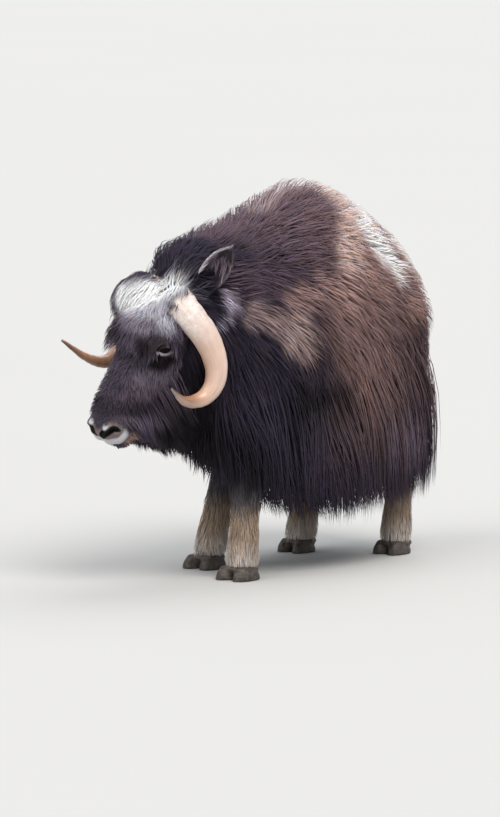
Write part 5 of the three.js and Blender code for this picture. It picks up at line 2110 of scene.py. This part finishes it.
@dataclass
class Studio:
    """A plain pale floor, soft light and a long lens at the photograph's angle."""

    azimuth: float = 40.0
    elevation: float = 6.0
    distance: float = 20.0
    shift_right: float = 0.126
    shift_up: float = 0.524
    view_height: float = 2.569
    sensor: float = 36.0
    floor_radius: float = 160.0

    def camera(self) -> None:
        """Makes the scene's camera."""
        back = towards(self.azimuth, self.elevation)
        right = Vector((-back.y, back.x, 0.0)).normalized()
        data = bpy.data.cameras.new("camera")
        data.sensor_width = self.sensor
        data.lens = self.sensor * self.distance / self.view_height
        data.clip_end = 400.0
        made = bpy.data.objects.new("camera", data)
        aside = right * self.shift_right + back.cross(right) * self.shift_up
        made.location = FORE_FEET + back * self.distance + aside
        made.rotation_euler = (-back).to_track_quat("-Z", "Y").to_euler()
        bpy.context.scene.collection.objects.link(made)
        bpy.context.scene.camera = made

    def lamp(
        self, name: str, azimuth: float, elevation: float, strength: float, spread: float, colour: Colour
    ) -> None:
        """Adds one far, soft lamp.

        Args:
            name: The lamp's name.
            azimuth: Where it stands, in degrees round from the front.
            elevation: How high it stands, in degrees.
            strength: How strongly it shines.
            spread: How wide it looks from the animal, in degrees.
            colour: Its colour.
        """
        data = bpy.data.lights.new(name, "SUN")
        data.energy, data.angle, data.color = strength, math.radians(spread), colour
        made = bpy.data.objects.new(name, data)
        made.rotation_euler = towards(azimuth, elevation).to_track_quat("Z", "Y").to_euler()
        bpy.context.scene.collection.objects.link(made)

    def floor(self) -> None:
        """Lays the floor."""
        bm = bmesh.new()
        bmesh.ops.create_circle(bm, cap_ends=True, segments=96, radius=self.floor_radius)
        made = object_of(bm, "floor")
        made.location.z = -0.001
        shade = Shade("floor", Roughness=0.9)
        colour = shade.mix(shade.noise(0.4, 2.0) * 0.3, (0.43, 0.425, 0.41), (0.40, 0.395, 0.385))
        made.data.materials.append(shade.finish(colour))

    def build(self) -> None:
        """Sets up camera, light and floor."""
        self.camera()
        self.floor()
        world = bpy.data.worlds.new("studio")
        world.use_nodes = True
        world.node_tree.nodes["Background"].inputs["Color"].default_value = (0.82, 0.86, 0.92, 1.0)
        world.node_tree.nodes["Background"].inputs["Strength"].default_value = 0.80
        bpy.context.scene.world = world
        self.lamp("key", 72.0, 56.0, 2.6, 35.0, (1.0, 0.97, 0.93))
        self.lamp("front", -10.0, 45.0, 1.3, 45.0, (1.0, 0.98, 0.96))
        self.lamp("rim", 190.0, 50.0, 1.3, 40.0, (0.97, 0.98, 1.0))
        bpy.context.scene.view_settings.view_transform = "Standard"


# PUTTING IT TOGETHER


def dress_skin(skin: bpy.types.Object, markings: Markings) -> None:
    """Unwraps the skin, paints the markings on it and gives it its finish.

    Args:
        skin: The skin.
        markings: The animal's colours.
    """
    mesh = skin.data
    bpy.context.view_layer.objects.active = skin
    skin.select_set(True)
    bpy.ops.object.mode_set(mode="EDIT")
    bpy.ops.mesh.select_all(action="SELECT")
    bpy.ops.uv.smart_project(angle_limit=math.radians(66), island_margin=0.004)
    bpy.ops.object.mode_set(mode="OBJECT")
    mesh.uv_layers[0].name = "Unwrap"
    places = read(mesh.vertices, "co")
    part = part_of(places)
    head = to_head(places)
    on_head = part == index_of(Part.HEAD)
    colour = markings.at(places, part) * SKIN_SHADE
    colour = blend(colour, markings.lids(head, colour), on_head[:, None])
    bare = bare_nose(head) * on_head
    colour = blend(colour, markings.nose(head), bare[:, None])
    paint(mesh, colour)
    store(mesh, "bare", bare)
    mesh.materials.clear()
    mesh.materials.append(SkinFinish().make())
    flesh = ["torso", "neck", "head", "tail", "ear_left", "ear_right"] + [f"leg_{name}" for name in LEGS]
    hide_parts(*flesh)


def main() -> None:
    """Builds the animal over its solids, and the studio round it."""
    logging.basicConfig(level=logging.INFO, format="%(message)s")
    markings = Markings()
    skin = Skin().build()
    dress_skin(skin, markings)
    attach(skin, "root")
    horn, eye, hoof = HornFinish().make(), EyeFinish().make(), HoofFinish().make()
    made = [(Horn(side).build(), horn) for side in (LEFT, RIGHT)]
    made += [(Eye(side).build(), eye) for side in (LEFT, RIGHT)]
    made += [(Hoof(name).build(), hoof) for name in LEGS]
    for piece, finish in made:
        piece.data.materials.clear()
        piece.data.materials.append(finish)
        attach(piece, "root")
    coat = Coat(skin, [piece for piece, _ in made[:2]], markings)
    hair = HairFinish().make()
    for k, kind in enumerate(COATS):
        coat.clothe(kind, HAIR_SEED + 10 * k, hair)
    Studio().build()


if __name__ == "__main__":
    main()
